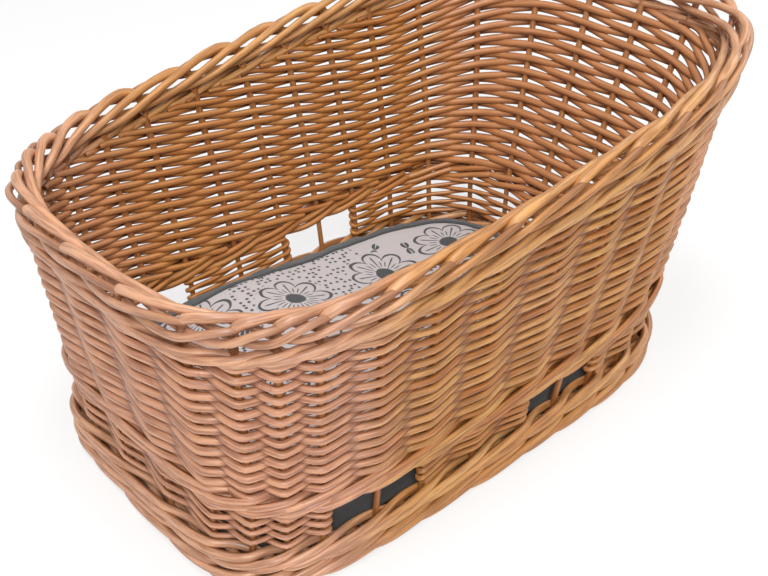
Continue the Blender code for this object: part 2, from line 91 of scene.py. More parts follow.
@dataclass(frozen=True)
class BasketShape:
    """Sizes of the wall surface that everything is woven on.

    A lean is how far the wall moves out for each metre up. Stakes stand by the sizes of the cells
    between them on the sides, by shares of the arc round the front end, and evenly at the rear.
    """

    half_length: float = 0.225
    half_width: float = 0.148
    front_height: float = 0.232
    rear_height: float = 0.287
    middle_wale_height: float = 0.068
    middle_wale_rise: float = 0.010
    half_wall: float = 0.0072
    seat_gap: float = 0.0003
    front_lean: float = 0.096
    rear_lean: float = 0.386
    side_lean: float = 0.135
    rear_foot_lean: float = 0.13
    side_foot_lean: float = 0.14
    foot_squareness: float = 5.0
    rim_squareness: float = 3.5
    rim_rise_power: float = 1.7
    middle_rise_power: float = 3.0
    middle_stake_place: float = -0.025
    middle_cell: float = 0.052
    window_cell: float = 0.043
    front_stakes: tuple[float, ...] = (0.075, 0.150, 0.285, 0.447, 0.615, 0.766, 0.856, 0.925)
    rear_stakes: int = 8
    stake_count: int = 32
    foot_wale_height: float = 0.037
    middle_wale_depth: float = 0.0135
    top_wale_depth: float = 0.0115
    border_reach: float = 0.0119
    base_thickness: float = 0.011
    drift_turn: float = 0.020
    drift_middle: float = 0.125
    drift_spread: float = 0.125
    measure_steps: int = 720
    side_steps: int = 5760

    def reach(self, turn: Array, squareness: float | Array) -> Array:
        """Reach of a rounded outline of unit size.

        Args:
            turn: Turn angles.
            squareness: Exponents of the outline.

        Returns:
            The distance from the centre for each angle.
        """
        along = np.abs(np.cos(turn)) ** squareness
        across = np.abs(np.sin(turn)) ** squareness
        return (along + across) ** (-1.0 / squareness)

    def length_share(self, turn: Array) -> Array:
        """Place along the basket for turn angles: 0 at the low end, 1 at the raised end."""
        return np.clip((1.0 + np.cos(turn) * self.reach(turn, self.rim_squareness)) / 2.0, 0.0, 1.0)

    def rim_height(self, turn: Array) -> Array:
        """Height of the border's centre line."""
        rise = self.length_share(turn) ** self.rim_rise_power
        return self.front_height + (self.rear_height - self.front_height) * rise

    def middle_height(self, turn: Array) -> Array:
        """Height of the middle wale's lower edge."""
        from_middle = np.abs(2.0 * self.length_share(turn) - 1.0)
        return self.middle_wale_height + self.middle_wale_rise * from_middle**self.middle_rise_power

    def top_wale_head(self, turn: Array) -> Array:
        """Height of the top wale's upper edge."""
        return self.rim_height(turn) - self.border_reach - self.seat_gap

    def weave_head(self, turn: Array) -> Array:
        """Height of the side weave's upper edge."""
        return self.top_wale_head(turn) - self.top_wale_depth - self.seat_gap

    def weave_foot(self, turn: Array) -> Array:
        """Height of the side weave's lower edge."""
        return self.middle_height(turn) + self.middle_wale_depth + self.seat_gap

    def foot_wale_line(self, turn: Array) -> Array:
        """Height of the foot wale's middle."""
        return np.full_like(turn, self.foot_wale_height / 2.0)

    def middle_wale_line(self, turn: Array) -> Array:
        """Height of the middle wale's middle."""
        return self.middle_height(turn) + self.middle_wale_depth / 2.0

    def top_wale_line(self, turn: Array) -> Array:
        """Height of the top wale's middle."""
        return self.top_wale_head(turn) - self.top_wale_depth / 2.0

    def point(self, turn: Array, height: Array, outward: Array) -> Array:
        """Points of the wall surface.

        Args:
            turn: Turn angles round the basket.
            height: Heights above the underside.
            outward: Distances outward from the middle of the wall.

        Returns:
            One row of three coordinates for each point.
        """
        bend = self.middle_height(turn)
        low = np.minimum(height, bend)
        high = np.maximum(height - bend, 0.0)
        to_rear = np.cos(turn) > 0.0
        foot_lean = np.where(to_rear, self.rear_foot_lean, 0.0)
        lean = np.where(to_rear, self.rear_lean, self.front_lean)
        length = self.half_length + foot_lean * low + lean * high + outward
        width = self.half_width + self.side_foot_lean * low + self.side_lean * high + outward
        softening = np.minimum(height / self.front_height, 1.0)
        squareness = self.foot_squareness + (self.rim_squareness - self.foot_squareness) * softening
        reach = self.reach(turn, squareness)
        along = length * reach * np.cos(turn)
        across = width * reach * np.sin(turn)
        return np.stack(np.broadcast_arrays(along, across, height), axis=-1)

    def level_points(self, turns: Array) -> Array:
        """Points at the middle wale's height, where the outline is measured."""
        return self.point(turns, np.full_like(turns, self.middle_wale_height), np.zeros_like(turns))

    def turns_at(self, start: float, end: float, shares: tuple[float, ...]) -> list[float]:
        """Turn angles at given shares of the outline's length between two angles.

        Args:
            start: First turn angle.
            end: Last turn angle.
            shares: Shares of the length, rising from 0 to 1.

        Returns:
            One angle for each share.
        """
        turns = np.linspace(start, end, self.measure_steps + 1)
        gaps = np.linalg.norm(np.diff(self.level_points(turns), axis=0), axis=1)
        run = np.concatenate([[0.0], np.cumsum(gaps)])
        return list(np.interp(np.array(shares) * run[-1], run, turns))

    def even_turns(self, start: float, end: float, count: int) -> list[float]:
        """Turn angles that divide the outline between two angles into equal lengths.

        Args:
            start: First turn angle.
            end: Last turn angle.
            count: Number of equal parts.

        Returns:
            The angles, with both ends.
        """
        return self.turns_at(start, end, tuple(step / count for step in range(count + 1)))

    def side_turn(self, place: float) -> float:
        """Turn angle of the right side's point at a lengthwise place on the middle wale.

        Args:
            place: Lengthwise place in metres.

        Returns:
            The angle.
        """
        turns = np.linspace(0.0, math.pi, self.side_steps)
        return float(np.interp(-place, -self.level_points(turns)[:, 0], turns))

    def stake_turns(self) -> Array:
        """Turn angles of all stakes, once round from the right side's rearmost side stake.

        Returns:
            One angle for each stake.
        """
        front_edge = self.middle_stake_place - self.middle_cell
        rear_edge = self.middle_stake_place + self.middle_cell
        front = [front_edge - self.window_cell * cell for cell in (2, 1, 0)]
        rear = [rear_edge + self.window_cell * cell for cell in (0, 1, 2, 3)]
        places = front + [self.middle_stake_place] + rear
        right = [self.side_turn(place) for place in reversed(places)]
        left = [FULL_TURN - turn for turn in reversed(right)]
        front_turns = self.turns_at(right[-1], left[0], self.front_stakes)
        rear_turns = self.even_turns(left[-1], right[0] + FULL_TURN, self.rear_stakes + 1)[1:-1]
        return np.array(right + front_turns + left + rear_turns)


class WallMap:
    """Finds points on the wall by stake number, so that rods meet the stakes where they stand."""

    def __init__(self, shape: BasketShape) -> None:
        """Measure the stakes' turn angles once.

        Args:
            shape: Sizes of the wall.
        """
        self.shape = shape
        turns = shape.stake_turns()
        self.turns = np.concatenate([turns + FULL_TURN * lap for lap in (-1, 0, 1, 2)])
        self.places = np.arange(len(self.turns)) - shape.stake_count

    def turn(self, place: Array) -> Array:
        """Turn angle at the foot for places counted in stakes."""
        return np.interp(place, self.places, self.turns)

    def drift(self, turn: Array) -> Array:
        """How far the stakes' upper ends are drawn sideways.

        Args:
            turn: Turn angles at the foot.

        Returns:
            The change of each angle on the way up.
        """
        middle = FULL_TURN * self.shape.drift_middle
        away = np.remainder(turn - middle + math.pi, FULL_TURN) - math.pi
        spread = FULL_TURN * self.shape.drift_spread
        return FULL_TURN * self.shape.drift_turn * np.exp(-((away / spread) ** 2))

    def turn_up(self, place: Array, share: Array) -> Array:
        """Turn angle at a share of the height between the middle wale and the top wale."""
        foot = self.turn(place)
        return foot + self.drift(foot) * np.clip(share, 0.0, 1.0)

    def rise_share(self, place: Array, height: Array) -> Array:
        """Share of the upper wall's height that a height stands for.

        Args:
            place: Places counted in stakes.
            height: Heights above the underside.

        Returns:
            0 at the middle wale, 1 at the top wale.
        """
        foot = self.turn(place)
        bend = self.shape.middle_height(foot)
        head = self.shape.top_wale_head(foot + self.drift(foot))
        return np.clip((height - bend) / (head - bend), 0.0, 1.0)

    def point(self, place: Array, height: Array, outward: Array) -> Array:
        """Points on the wall.

        Args:
            place: Places counted in stakes.
            height: Heights above the underside.
            outward: Distances outward from the middle of the wall.

        Returns:
            One row of three coordinates for each point.
        """
        turn = self.turn_up(place, self.rise_share(place, height))
        return self.shape.point(turn, height, outward)


@dataclass
class Rod:
    """One willow rod: its middle line and its radius along it, and how its bark looks.

    painted_shade is the shade painted into the bark where the rod dives under others, tone its
    own colour, and swing runs from -1 where the rod lies inside the wall to 1 where it lies
    outside.
    """

    points: Array
    radius: Array
    painted_shade: Array
    tone: float
    swing: Array | None = None

    def __post_init__(self) -> None:
        """Let a rod that doesn't wind in and out have no swing anywhere."""
        if self.swing is None:
            self.swing = np.zeros(len(self.points))


@dataclass(frozen=True)
class Waver:
    """Smooth unevenness along a rod: its size, and the wavelengths mixed in it."""

    size: float
    spans: tuple[float, ...]

    def along(self, rng: Random, place: Array) -> Array:
        """The unevenness at places along a rod.

        Args:
            rng: Source of the phases.
            place: Places along the rod, in the same unit as the wavelengths.

        Returns:
            One value for each place.
        """
        total = np.zeros_like(place)
        for span in self.spans:
            total += np.sin(FULL_TURN * (place / span + rng.random()))
        return self.size * (total / len(self.spans))


@dataclass(frozen=True)
class StakeBend:
    """How a woven rod bends round the outside of even stakes and runs flat inside odd ones.

    reach is half the bend's width in stakes, crown and run_out round its top and its foot, and
    a rod of more than few points has its highest one scaled to the full bend.
    """

    reach: float = 0.58
    crown: float = 0.004
    run_out: float = 0.012
    few: int = 20

    def path(self, place: Array, outer: float, inner: float) -> tuple[Array, Array]:
        """Path of a rod in and out of the wall.

        Args:
            place: Places counted in stakes.
            outer: Outward distance at the outside of a stake.
            inner: Inward distance of the flat run.

        Returns:
            Outward distances, and the same path as a wave between -1 and 1.
        """
        away = np.abs(np.mod(place + 1.0, 2.0) - 1.0)
        slope = 1.0 - np.sqrt(away**2 + self.crown) / self.reach
        bend = 0.5 * (slope + np.sqrt(slope**2 + self.run_out))
        bend = bend / bend.max() if len(bend) > self.few else np.clip(bend, 0.0, 1.0)
        return (outer + inner) * bend - inner, 2.0 * bend - 1.0


def soft_square(wave: Array, sharpness: float) -> Array:
    """A wave with fuller crests."""
    return np.tanh(sharpness * wave) / math.tanh(sharpness)


def from_ends(place: Array) -> Array:
    """Distance from the nearer end of a rod."""
    return np.minimum(place - place[0], place[-1] - place)


def taper_ends(place: Array, tip: float, reach: float, curve: float = 0.6) -> Array:
    """Radius factor that thins a rod toward both ends.

    Args:
        place: Places along the rod.
        tip: Factor at the very end.
        reach: Distance over which it grows to full size.
        curve: Exponent of the growth.

    Returns:
        One factor for each place.
    """
    grown = np.clip(from_ends(place) / reach, 0.0, 1.0)
    return tip + (1.0 - tip) * grown**curve


def smooth_through(marks: Array, values: Array, place: Array) -> Array:
    """Smooth line through marked values.

    Args:
        marks: Places of the values.
        values: The values.
        place: Places to read.

    Returns:
        The line's value at each place.
    """
    slope = np.gradient(values, marks)
    step = np.clip(np.searchsorted(marks, place) - 1, 0, len(marks) - 2)
    width = marks[step + 1] - marks[step]
    share = (place - marks[step]) / width
    low, high = values[step], values[step + 1]
    curve = (2 * share**3 - 3 * share**2 + 1) * low + (3 * share**2 - 2 * share**3) * high
    leaving = (share**3 - 2 * share**2 + share) * slope[step]
    arriving = (share**3 - share**2) * slope[step + 1]
    return curve + (leaving + arriving) * width


def put_in_scene(name: str, data: bpy.types.ID) -> Piece:
    """Make an object and link it to the scene.

    Args:
        name: Name of the object.
        data: Its mesh, lamp or camera.

    Returns:
        The object.
    """
    item = bpy.data.objects.new(name, data)
    bpy.context.scene.collection.objects.link(item)
    return item


class NodeTree:
    """Small helper that adds and joins nodes of a tree."""

    def __init__(self, tree: Tree) -> None:
        """Keep the tree to work on."""
        self.tree = tree

    def wire(self, node: Node, inputs: dict[str | int, object]) -> None:
        """Give inputs of a node their values, or link them to other sockets.

        Args:
            node: The node.
            inputs: Values or sockets, by the input's name or number.
        """
        for key, source in inputs.items():
            if isinstance(source, Socket):
                self.tree.links.new(source, node.inputs[key])
            else:
                node.inputs[key].default_value = source

    def add(
        self, kind: str, inputs: dict[str | int, object] | None = None, **values: object
    ) -> Node:
        """Add a node.

        Args:
            kind: Blender's type name of the node.
            inputs: Values or sockets for its inputs, by name or number.
            values: Properties to set on it.

        Returns:
            The new node.
        """
        node = self.tree.nodes.new(kind)
        for name, value in values.items():
            setattr(node, name, value)
        self.wire(node, inputs or {})
        return node

    def math(self, kind: str, *values: object, clamp: bool = False) -> Socket:
        """Add a Math node.

        Args:
            kind: Operation.
            values: One or two values or sockets.
            clamp: Whether the result is held between 0 and 1.

        Returns:
            Its output.
        """
        inputs = dict(enumerate(values))
        return self.add("ShaderNodeMath", inputs, operation=kind, use_clamp=clamp).outputs[0]

    def times(self, first: object, second: object) -> Socket:
        """Product of two values or sockets."""
        return self.math("MULTIPLY", first, second)

    def plus(self, first: object, second: object) -> Socket:
        """Sum of two values or sockets."""
        return self.math("ADD", first, second)

    def less(self, first: object, second: object) -> Socket:
        """Difference of two values or sockets."""
        return self.math("SUBTRACT", first, second)

    def most(self, first: object, second: object) -> Socket:
        """The greater of two values or sockets."""
        return self.math("MAXIMUM", first, second)

    def size_of(self, kind: str, *values: object) -> Socket:
        """Size, without its sign, of a Math node's result."""
        return self.math("ABSOLUTE", self.math(kind, *values))

    def blend(self, share: object, first: object, second: object, kind: str = "MIX") -> Socket:
        """Mix two colours.

        Args:
            share: How much of the second.
            first: First colour or socket.
            second: Second colour or socket.
            kind: Blend type.

        Returns:
            The mixed colour.
        """
        inputs = {"Factor": share, "A": first, "B": second}
        looks = {"data_type": "RGBA", "blend_type": kind, "clamp_factor": True}
        return self.add("ShaderNodeMix", inputs, **looks).outputs["Result"]

    def band(self, value: object, limits: Pair, results: Pair = (0.0, 1.0)) -> Socket:
        """Smooth step of a value.

        Args:
            value: Value or socket.
            limits: Where the step starts and ends.
            results: Result before the step and after it.

        Returns:
            The stepped value.
        """
        names = ("Value", "From Min", "From Max", "To Min", "To Max")
        inputs = dict(zip(names, (value, *limits, *results)))
        node = self.add("ShaderNodeMapRange", inputs, interpolation_type="SMOOTHSTEP")
        return node.outputs["Result"]

    def noise(self, place: Socket, scale: float, detail: float = 2.0) -> Socket:
        """Noise value at a place, at a scale, with a number of finer layers in it."""
        inputs = {"Vector": place, "Scale": scale, "Detail": detail}
        return self.add("ShaderNodeTexNoise", inputs).outputs["Fac"]

    def parts(self, vector: Socket) -> list[Socket]:
        """The three parts of a vector."""
        return list(self.add("ShaderNodeSeparateXYZ", {0: vector}).outputs)

    def rod_value(self, name: str) -> Socket:
        """A number that is stored along the rods."""
        return self.add("ShaderNodeAttribute", attribute_name=name).outputs["Fac"]

    def object_place(self) -> Socket:
        """Place on the piece, in metres."""
        return self.add("ShaderNodeTexCoord").outputs["Object"]


class RodKit:
    """Gives guide lines the round bodies of rods with a Geometry Nodes tree."""

    def __init__(self) -> None:
        """Build the tree, with its sizes as named inputs."""
        inputs = {"Guides": "Geometry", "Sides": "Int", "Fullness": "Float", "Bark": "Material"}
        group = new_group("rods_along_guides", inputs, {"Rods": "Geometry"}, "GeometryNodeTree")
        self.tree, kit, start, end = group
        shaded = self.shade(kit, self.sweep(kit, start))
        real = kit.add("GeometryNodeRealizeInstances", {"Geometry": shaded}).outputs["Geometry"]
        paint = kit.add("GeometryNodeSetMaterial", {"Geometry": real, "Material": start["Bark"]})
        kit.wire(end, {"Rods": paint.outputs["Geometry"]})

    @staticmethod
    def sweep(kit: NodeTree, start: Sockets) -> Socket:
        """Add the nodes that sweep a circle along the guides, as thick as each rod is there.

        Args:
            kit: Helper for the tree.
            start: The tree's inputs.

        Returns:
            The swept mesh, with closed ends.
        """
        guides = kit.add("GeometryNodeMeshToCurve", {"Mesh": start["Guides"]})
        inputs = {"Resolution": start["Sides"], "Radius": 1.0}
        circle = kit.add("GeometryNodeCurvePrimitiveCircle", inputs)
        place = kit.add("GeometryNodeInputPosition").outputs[0]
        inputs = {"Geometry": circle.outputs["Curve"], "Name": "rod_round", "Value": place}
        kinds = {"data_type": "FLOAT_VECTOR", "domain": "POINT"}
        around = kit.add("GeometryNodeStoreNamedAttribute", inputs, **kinds)
        inputs = {"Name": "rod_radius"}
        radius = kit.add("GeometryNodeInputNamedAttribute", inputs, data_type="FLOAT")
        inputs = {
            "Curve": guides.outputs["Curve"],
            "Profile Curve": around.outputs["Geometry"],
            "Scale": kit.times(radius.outputs["Attribute"], start["Fullness"]),
            "Fill Caps": True,
        }
        return kit.add("GeometryNodeCurveToMesh", inputs).outputs["Mesh"]

    @staticmethod
    def shade(kit: NodeTree, swept: Socket) -> Socket:
        """Add the nodes that shade rods smooth and their cut ends flat.

        Args:
            kit: Helper for the tree.
            swept: The rods' mesh.

        Returns:
            The shaded mesh.
        """
        corners_of_a_side = 4
        corners = kit.add("GeometryNodeCornersOfFace").outputs["Total"]
        inputs = {2: corners, 3: corners_of_a_side}
        kinds = {"data_type": "INT", "operation": "GREATER_THAN"}
        is_end = kit.add("FunctionNodeCompare", inputs, **kinds).outputs[0]
        smooth = kit.add("GeometryNodeSetShadeSmooth", {"Geometry": swept}).outputs["Geometry"]
        inputs = {"Geometry": smooth, "Selection": is_end, "Shade Smooth": False}
        return kit.add("GeometryNodeSetShadeSmooth", inputs).outputs["Geometry"]

    @staticmethod
    def guide_mesh(name: str, rods: list[Rod]) -> bpy.types.Mesh:
        """Lay the rods' middle lines out as one mesh of edges.

        Args:
            name: Name of the mesh.
            rods: The rods.

        Returns:
            The mesh, with radius, place, painted shade, tone and swing stored on its points.
        """
        counts = [len(rod.points) for rod in rods]
        starts = np.cumsum([0] + counts[:-1])
        edges = [
            (first + step, first + step + 1)
            for first, count in zip(starts, counts)
            for step in range(count - 1)
        ]
        mesh = bpy.data.meshes.new(name)
        mesh.from_pydata(np.concatenate([rod.points for rod in rods]).tolist(), edges, [])
        runs = []
        for rod in rods:
            gaps = np.linalg.norm(np.diff(rod.points, axis=0), axis=1)
            runs.append(np.concatenate([[0.0], np.cumsum(gaps)]))
        columns = {
            "rod_radius": [rod.radius for rod in rods],
            "rod_along": runs,
            "rod_painted_shade": [rod.painted_shade for rod in rods],
            "rod_tone": [np.full(count, rod.tone) for count, rod in zip(counts, rods)],
            "rod_swing": [rod.swing for rod in rods],
        }
        for key, values in columns.items():
            attribute = mesh.attributes.new(key, "FLOAT", "POINT")
            attribute.data.foreach_set("value", np.concatenate(values).astype(np.float32))
        return mesh

    def make(self, name: str, rods: list[Rod], bark: Material, sides: int = 8) -> Piece:
        """Turn rods into one plain mesh piece.

        Args:
            name: Name of the piece.
            rods: The rods in it.
            bark: Material of the rods.
            sides: Number of faces round a rod.

        Returns:
            The piece, with no modifier left on it.
        """
        guide = put_in_scene(name + "_guides", self.guide_mesh(name + "_guides", rods))
        modifier = guide.modifiers.new("rods", "NODES")
        modifier.node_group = self.tree
        sockets = self.tree.interface.items_tree
        for label, value in (("Sides", sides), ("Fullness", 1.0), ("Bark", bark)):
            modifier[sockets[label].identifier] = value
        return settle(guide, name)


def settle(source: Piece, name: str) -> Piece:
    """Turn an object with modifiers into a plain mesh piece and drop the source.

    Args:
        source: Object with its modifiers.
        name: Name of the new piece.

    Returns:
        The plain piece.
    """
    graph = bpy.context.evaluated_depsgraph_get()
    mesh = bpy.data.meshes.new_from_object(
        source.evaluated_get(graph), preserve_all_data_layers=True, depsgraph=graph
    )
    mesh.name = name
    bpy.data.objects.remove(source, do_unlink=True)
    return put_in_scene(name, mesh)


def hand_over(piece: Piece, body: Body, slot: Slot, nodes: list[str]) -> None:
    """Tie a finished piece to the frame.

    Args:
        piece: The finished piece.
        body: Body that it rides on.
        slot: Material slot of its finish; not used.
        nodes: Frame nodes that it stands for.
    """
    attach(piece, body.value)
    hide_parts(*nodes)
    LOG.info("%s: %d faces", piece.name, len(piece.data.polygons))


def new_material(name: str) -> tuple[Material, NodeTree, Node]:
    """Start a material.

    Args:
        name: Name of the material.

    Returns:
        The material, its tree helper and its Principled shader.
    """
    material = bpy.data.materials.new(name)
    material.use_nodes = True
    kit = NodeTree(material.node_tree)
    return material, kit, material.node_tree.nodes["Principled BSDF"]


def finish(
    kit: NodeTree, shader: Node, height: Socket, relief: float, look: dict[str, object]
) -> None:
    """Give a shader its look, with a bump for its surface.

    Args:
        kit: Helper for the material's tree.
        shader: The material's shader.
        height: Height of the surface's detail, from 0 to 1.
        relief: Real size of that height.
        look: Values or sockets for the shader's other inputs.
    """
    bump = kit.add("ShaderNodeBump", {"Distance": relief, "Height": height})
    kit.wire(shader, look | {"Normal": bump.outputs["Normal"]})


def new_group(
    name: str, inputs: dict[str, str], outputs: dict[str, str], kind: str = "ShaderNodeTree"
) -> tuple[Tree, NodeTree, Sockets, Node]:
    """Start a group of nodes.

    Args:
        name: Name of the group.
        inputs: Kind of each named input.
        outputs: Kind of each named output.
        kind: Blender's type name of the group.

    Returns:
        The group, its tree helper, the sockets it starts from and its end node.
    """
    group = bpy.data.node_groups.new(name, kind)
    for way, sockets in (("INPUT", inputs), ("OUTPUT", outputs)):
        for label, holds in sockets.items():
            group.interface.new_socket(label, in_out=way, socket_type="NodeSocket" + holds)
    kit = NodeTree(group)
    start = kit.add("NodeGroupInput").outputs
    return group, kit, start, kit.add("NodeGroupOutput")


@dataclass(frozen=True)
class BarkPattern:
    """How willow bark varies along and round each rod.

    A grain is a pair of scales: along the rod, for each metre, and round it. A band is the pair
    of values between which a mark grows from nothing to its full strength.
    """

    tone_shift: float = 83.0
    patch_grain: Pair = (11.0, 0.25)
    streak_grain: Pair = (38.0, 1.6)
    streak_detail: float = 4.0
    fine_grain: Pair = (160.0, 5.0)
    fine_detail: float = 3.0
    tone_weight: float = 0.75
    patch_weight: float = 0.5
    rich_band: Pair = (0.2, 1.0)
    cloud_scale: float = 9.0
    cloud_weight: float = 0.6
    # Pinkish light painted toward the low end and the raised end, with a cloudy random tone in it.
    low_end: Pair = (-0.08, -0.22)
    raised_end: Pair = (0.15, 0.30)
    raised_rosiness: float = 0.7
    rosy_light_band: Pair = (0.2, 1.0)
    dark_streaks: Pair = (0.62, 0.34)
    dark_strength: float = 0.55
    light_streaks: Pair = (0.55, 0.72)
    light_strength: float = 0.35
    # Painted shade where a rod lies on the far side of the wall from the face that is seen.
    outside_band: Pair = (-0.05, 0.05)
    behind_shade_band: Pair = (0.15, 1.0)
    painted_shade_curve: float = 1.1
    buds_a_metre: float = 5.0
    bud_band: Pair = (0.009, 0.002)
    bud_turn: float = 2.4
    bud_side: Pair = (0.55, 0.95)
    bud_strength: float = 0.5
    rough_band: Pair = (0.25, 0.8)
    roughness: Pair = (0.34, 0.56)
    fine_relief: float = 0.35
    streak_relief: float = 0.65
    bud_relief: float = 0.4

    def facing(self, kit: NodeTree, spot: Socket) -> Socket:
        """How far a surface faces out of the basket.

        Args:
            kit: The group's tree helper.
            spot: Place on the piece.

        Returns:
            1 on the outside of the basket, 0 on its inside.
        """
        normal = kit.add("ShaderNodeNewGeometry").outputs["Normal"]
        inputs = {0: normal, 1: (1.0, 1.0, 0.0)}
        flat = kit.add("ShaderNodeVectorMath", inputs, operation="MULTIPLY").outputs[0]
        outward = kit.add("ShaderNodeVectorMath", {0: spot, 1: flat}, operation="DOT_PRODUCT")
        return kit.band(outward.outputs["Value"], self.outside_band)

    def group(self) -> Tree:
        """Node group that paints bark by rod: tone, streaks, buds, painted shade at crossings and
        inside the basket, and a painted pinkish light toward its ends.

        Returns:
            The group, with colours as inputs and colour, roughness and height as outputs.
        """
        colours = dict.fromkeys(("Pale", "Rich", "Deep", "Rosy"), "Color")
        shares = dict.fromkeys(("Rosiness", "Shading", "Inner"), "Float")
        results = {"Colour": "Color", "Roughness": "Float", "Height": "Float"}
        group, kit, start, end = new_group("willow_bark", colours | shares, results)
        along, painted_shade = kit.rod_value("rod_along"), kit.rod_value("rod_painted_shade")
        tone, swing = kit.rod_value("rod_tone"), kit.rod_value("rod_swing")
        around = kit.add("ShaderNodeAttribute", attribute_name="rod_round").outputs["Vector"]
        across = kit.parts(around)
        shift = kit.times(tone, self.tone_shift)

        def mottle(grain: Pair, detail: float = 2.0) -> Socket:
            """Noise on the bark.

            Args:
                grain: Its scales along and round the rod.
                detail: Number of finer layers in it.

            Returns:
                The noise.
            """
            place = {axis + 1: kit.times(across[axis], grain[1]) for axis in (0, 1)}
            place[0] = kit.plus(kit.times(along, grain[0]), shift)
            return kit.noise(kit.add("ShaderNodeCombineXYZ", place).outputs[0], 1.0, detail)

        patches = mottle(self.patch_grain)
        streaks = mottle(self.streak_grain, self.streak_detail)
        grain = mottle(self.fine_grain, self.fine_detail)
        lean = kit.plus(kit.times(tone, self.tone_weight), kit.times(patches, self.patch_weight))
        colour = kit.blend(kit.band(lean, self.rich_band), start["Pale"], start["Rich"])

        # Painted light: a pinkish cast toward both ends of the basket, mixed with random cloudy
        # tone.
        spot = kit.object_place()
        lengthwise = kit.parts(spot)[0]
        low_end = kit.band(lengthwise, self.low_end)
        raised_end = kit.band(lengthwise, self.raised_end, (0.0, self.raised_rosiness))
        cloud = kit.times(kit.noise(spot, self.cloud_scale, 1.0), self.cloud_weight)
        rosy_light = kit.times(kit.plus(cloud, kit.most(low_end, raised_end)), start["Rosiness"])
        colour = kit.blend(kit.band(rosy_light, self.rosy_light_band), colour, start["Rosy"])
        dark = kit.band(streaks, self.dark_streaks, (0.0, self.dark_strength))
        colour = kit.blend(dark, colour, start["Deep"])
        light = kit.band(streaks, self.light_streaks, (0.0, self.light_strength))
        colour = kit.blend(light, colour, start["Pale"])

        outside = self.facing(kit, spot)
        # Painted shade: bark is darkened where the rod lies on the far side of the wall from this
        # face.
        turned = kit.times(swing, kit.less(1.0, kit.times(outside, 2.0)))
        behind = kit.band(turned, self.behind_shade_band)
        # Painted shade: faces inside the basket are mixed toward the darker, richer colour.
        inside = kit.times(kit.less(1.0, outside), start["Inner"])
        colour = kit.blend(inside, colour, start["Rich"])
        # Painted shade: the stronger of the rod's own painted shade and the shade behind the wall,
        # mixed toward the deep colour.
        painted_shade_mask = kit.most(kit.math("POWER", painted_shade, self.painted_shade_curve), behind)
        shade = kit.math("MULTIPLY", painted_shade_mask, start["Shading"], clamp=True)
        colour = kit.blend(shade, colour, start["Deep"])

        bud_place = kit.times(along, self.buds_a_metre)
        inputs = {"W": kit.plus(bud_place, shift)}
        buds = kit.add("ShaderNodeTexVoronoi", inputs, voronoi_dimensions="1D", feature="F1")
        turn = kit.math("SINE", kit.times(kit.math("FLOOR", bud_place), self.bud_turn))
        on_side = kit.band(kit.times(turn, across[0]), self.bud_side)
        bud = kit.times(kit.band(buds.outputs["Distance"], self.bud_band), on_side)
        colour = kit.blend(kit.times(bud, self.bud_strength), colour, start["Deep"])

        fine, long = kit.times(grain, self.fine_relief), kit.times(streaks, self.streak_relief)
        height = kit.plus(kit.plus(fine, long), kit.times(bud, self.bud_relief))
        roughness = kit.band(grain, self.rough_band, self.roughness)
        kit.wire(end, {"Colour": colour, "Roughness": roughness, "Height": height})
        return group


@dataclass(frozen=True)
class WillowFinish:
    """One kind of willow bark."""

    name: str
    pale: Triple
    rich: Triple
    deep: Triple
    # Pinkish colour of the light painted toward the ends.
    rosy_light: Triple
    rosiness: float
    shading: float
    # Share of painted shade on the faces inside the basket.
    inner: float
    relief: float = 0.00025
    coat: float = 0.12
    coat_roughness: float = 0.3

    def material(self, group: Tree) -> Material:
        """Build the material.

        Args:
            group: The shared bark group.

        Returns:
            The material.
        """
        material, kit, shader = new_material(self.name)
        inputs = {
            "Pale": (*self.pale, 1.0),
            "Rich": (*self.rich, 1.0),
            "Deep": (*self.deep, 1.0),
            "Rosy": (*self.rosy_light, 1.0),
            "Rosiness": self.rosiness,
            "Shading": self.shading,
            "Inner": self.inner,
        }
        bark = kit.add("ShaderNodeGroup", inputs, node_tree=group)
        look = {
            "Base Color": bark.outputs["Colour"],
            "Roughness": bark.outputs["Roughness"],
            "Coat Weight": self.coat,
            "Coat Roughness": self.coat_roughness,
        }
        finish(kit, shader, bark.outputs["Height"], self.relief, look)
        return material


WEAVE_WILLOW = WillowFinish(
    name="weave_willow", pale=(0.55, 0.285, 0.085), rich=(0.40, 0.145, 0.026),
    deep=(0.11, 0.024, 0.007), rosy_light=(0.60, 0.30, 0.18),
    rosiness=1.0, shading=0.8, inner=0.6,
)
STOUT_WILLOW = WillowFinish(
    name="stout_willow", pale=(0.60, 0.32, 0.11), rich=(0.50, 0.22, 0.06),
    deep=(0.15, 0.042, 0.011), rosy_light=(0.62, 0.33, 0.20),
    rosiness=1.0, shading=0.7, inner=0.25,
)
STAKE_WILLOW = WillowFinish(
    name="stake_willow", pale=(0.50, 0.23, 0.07), rich=(0.36, 0.13, 0.030),
    deep=(0.15, 0.042, 0.011), rosy_light=(0.5, 0.24, 0.12),
    rosiness=0.4, shading=0.6, inner=0.3,
)


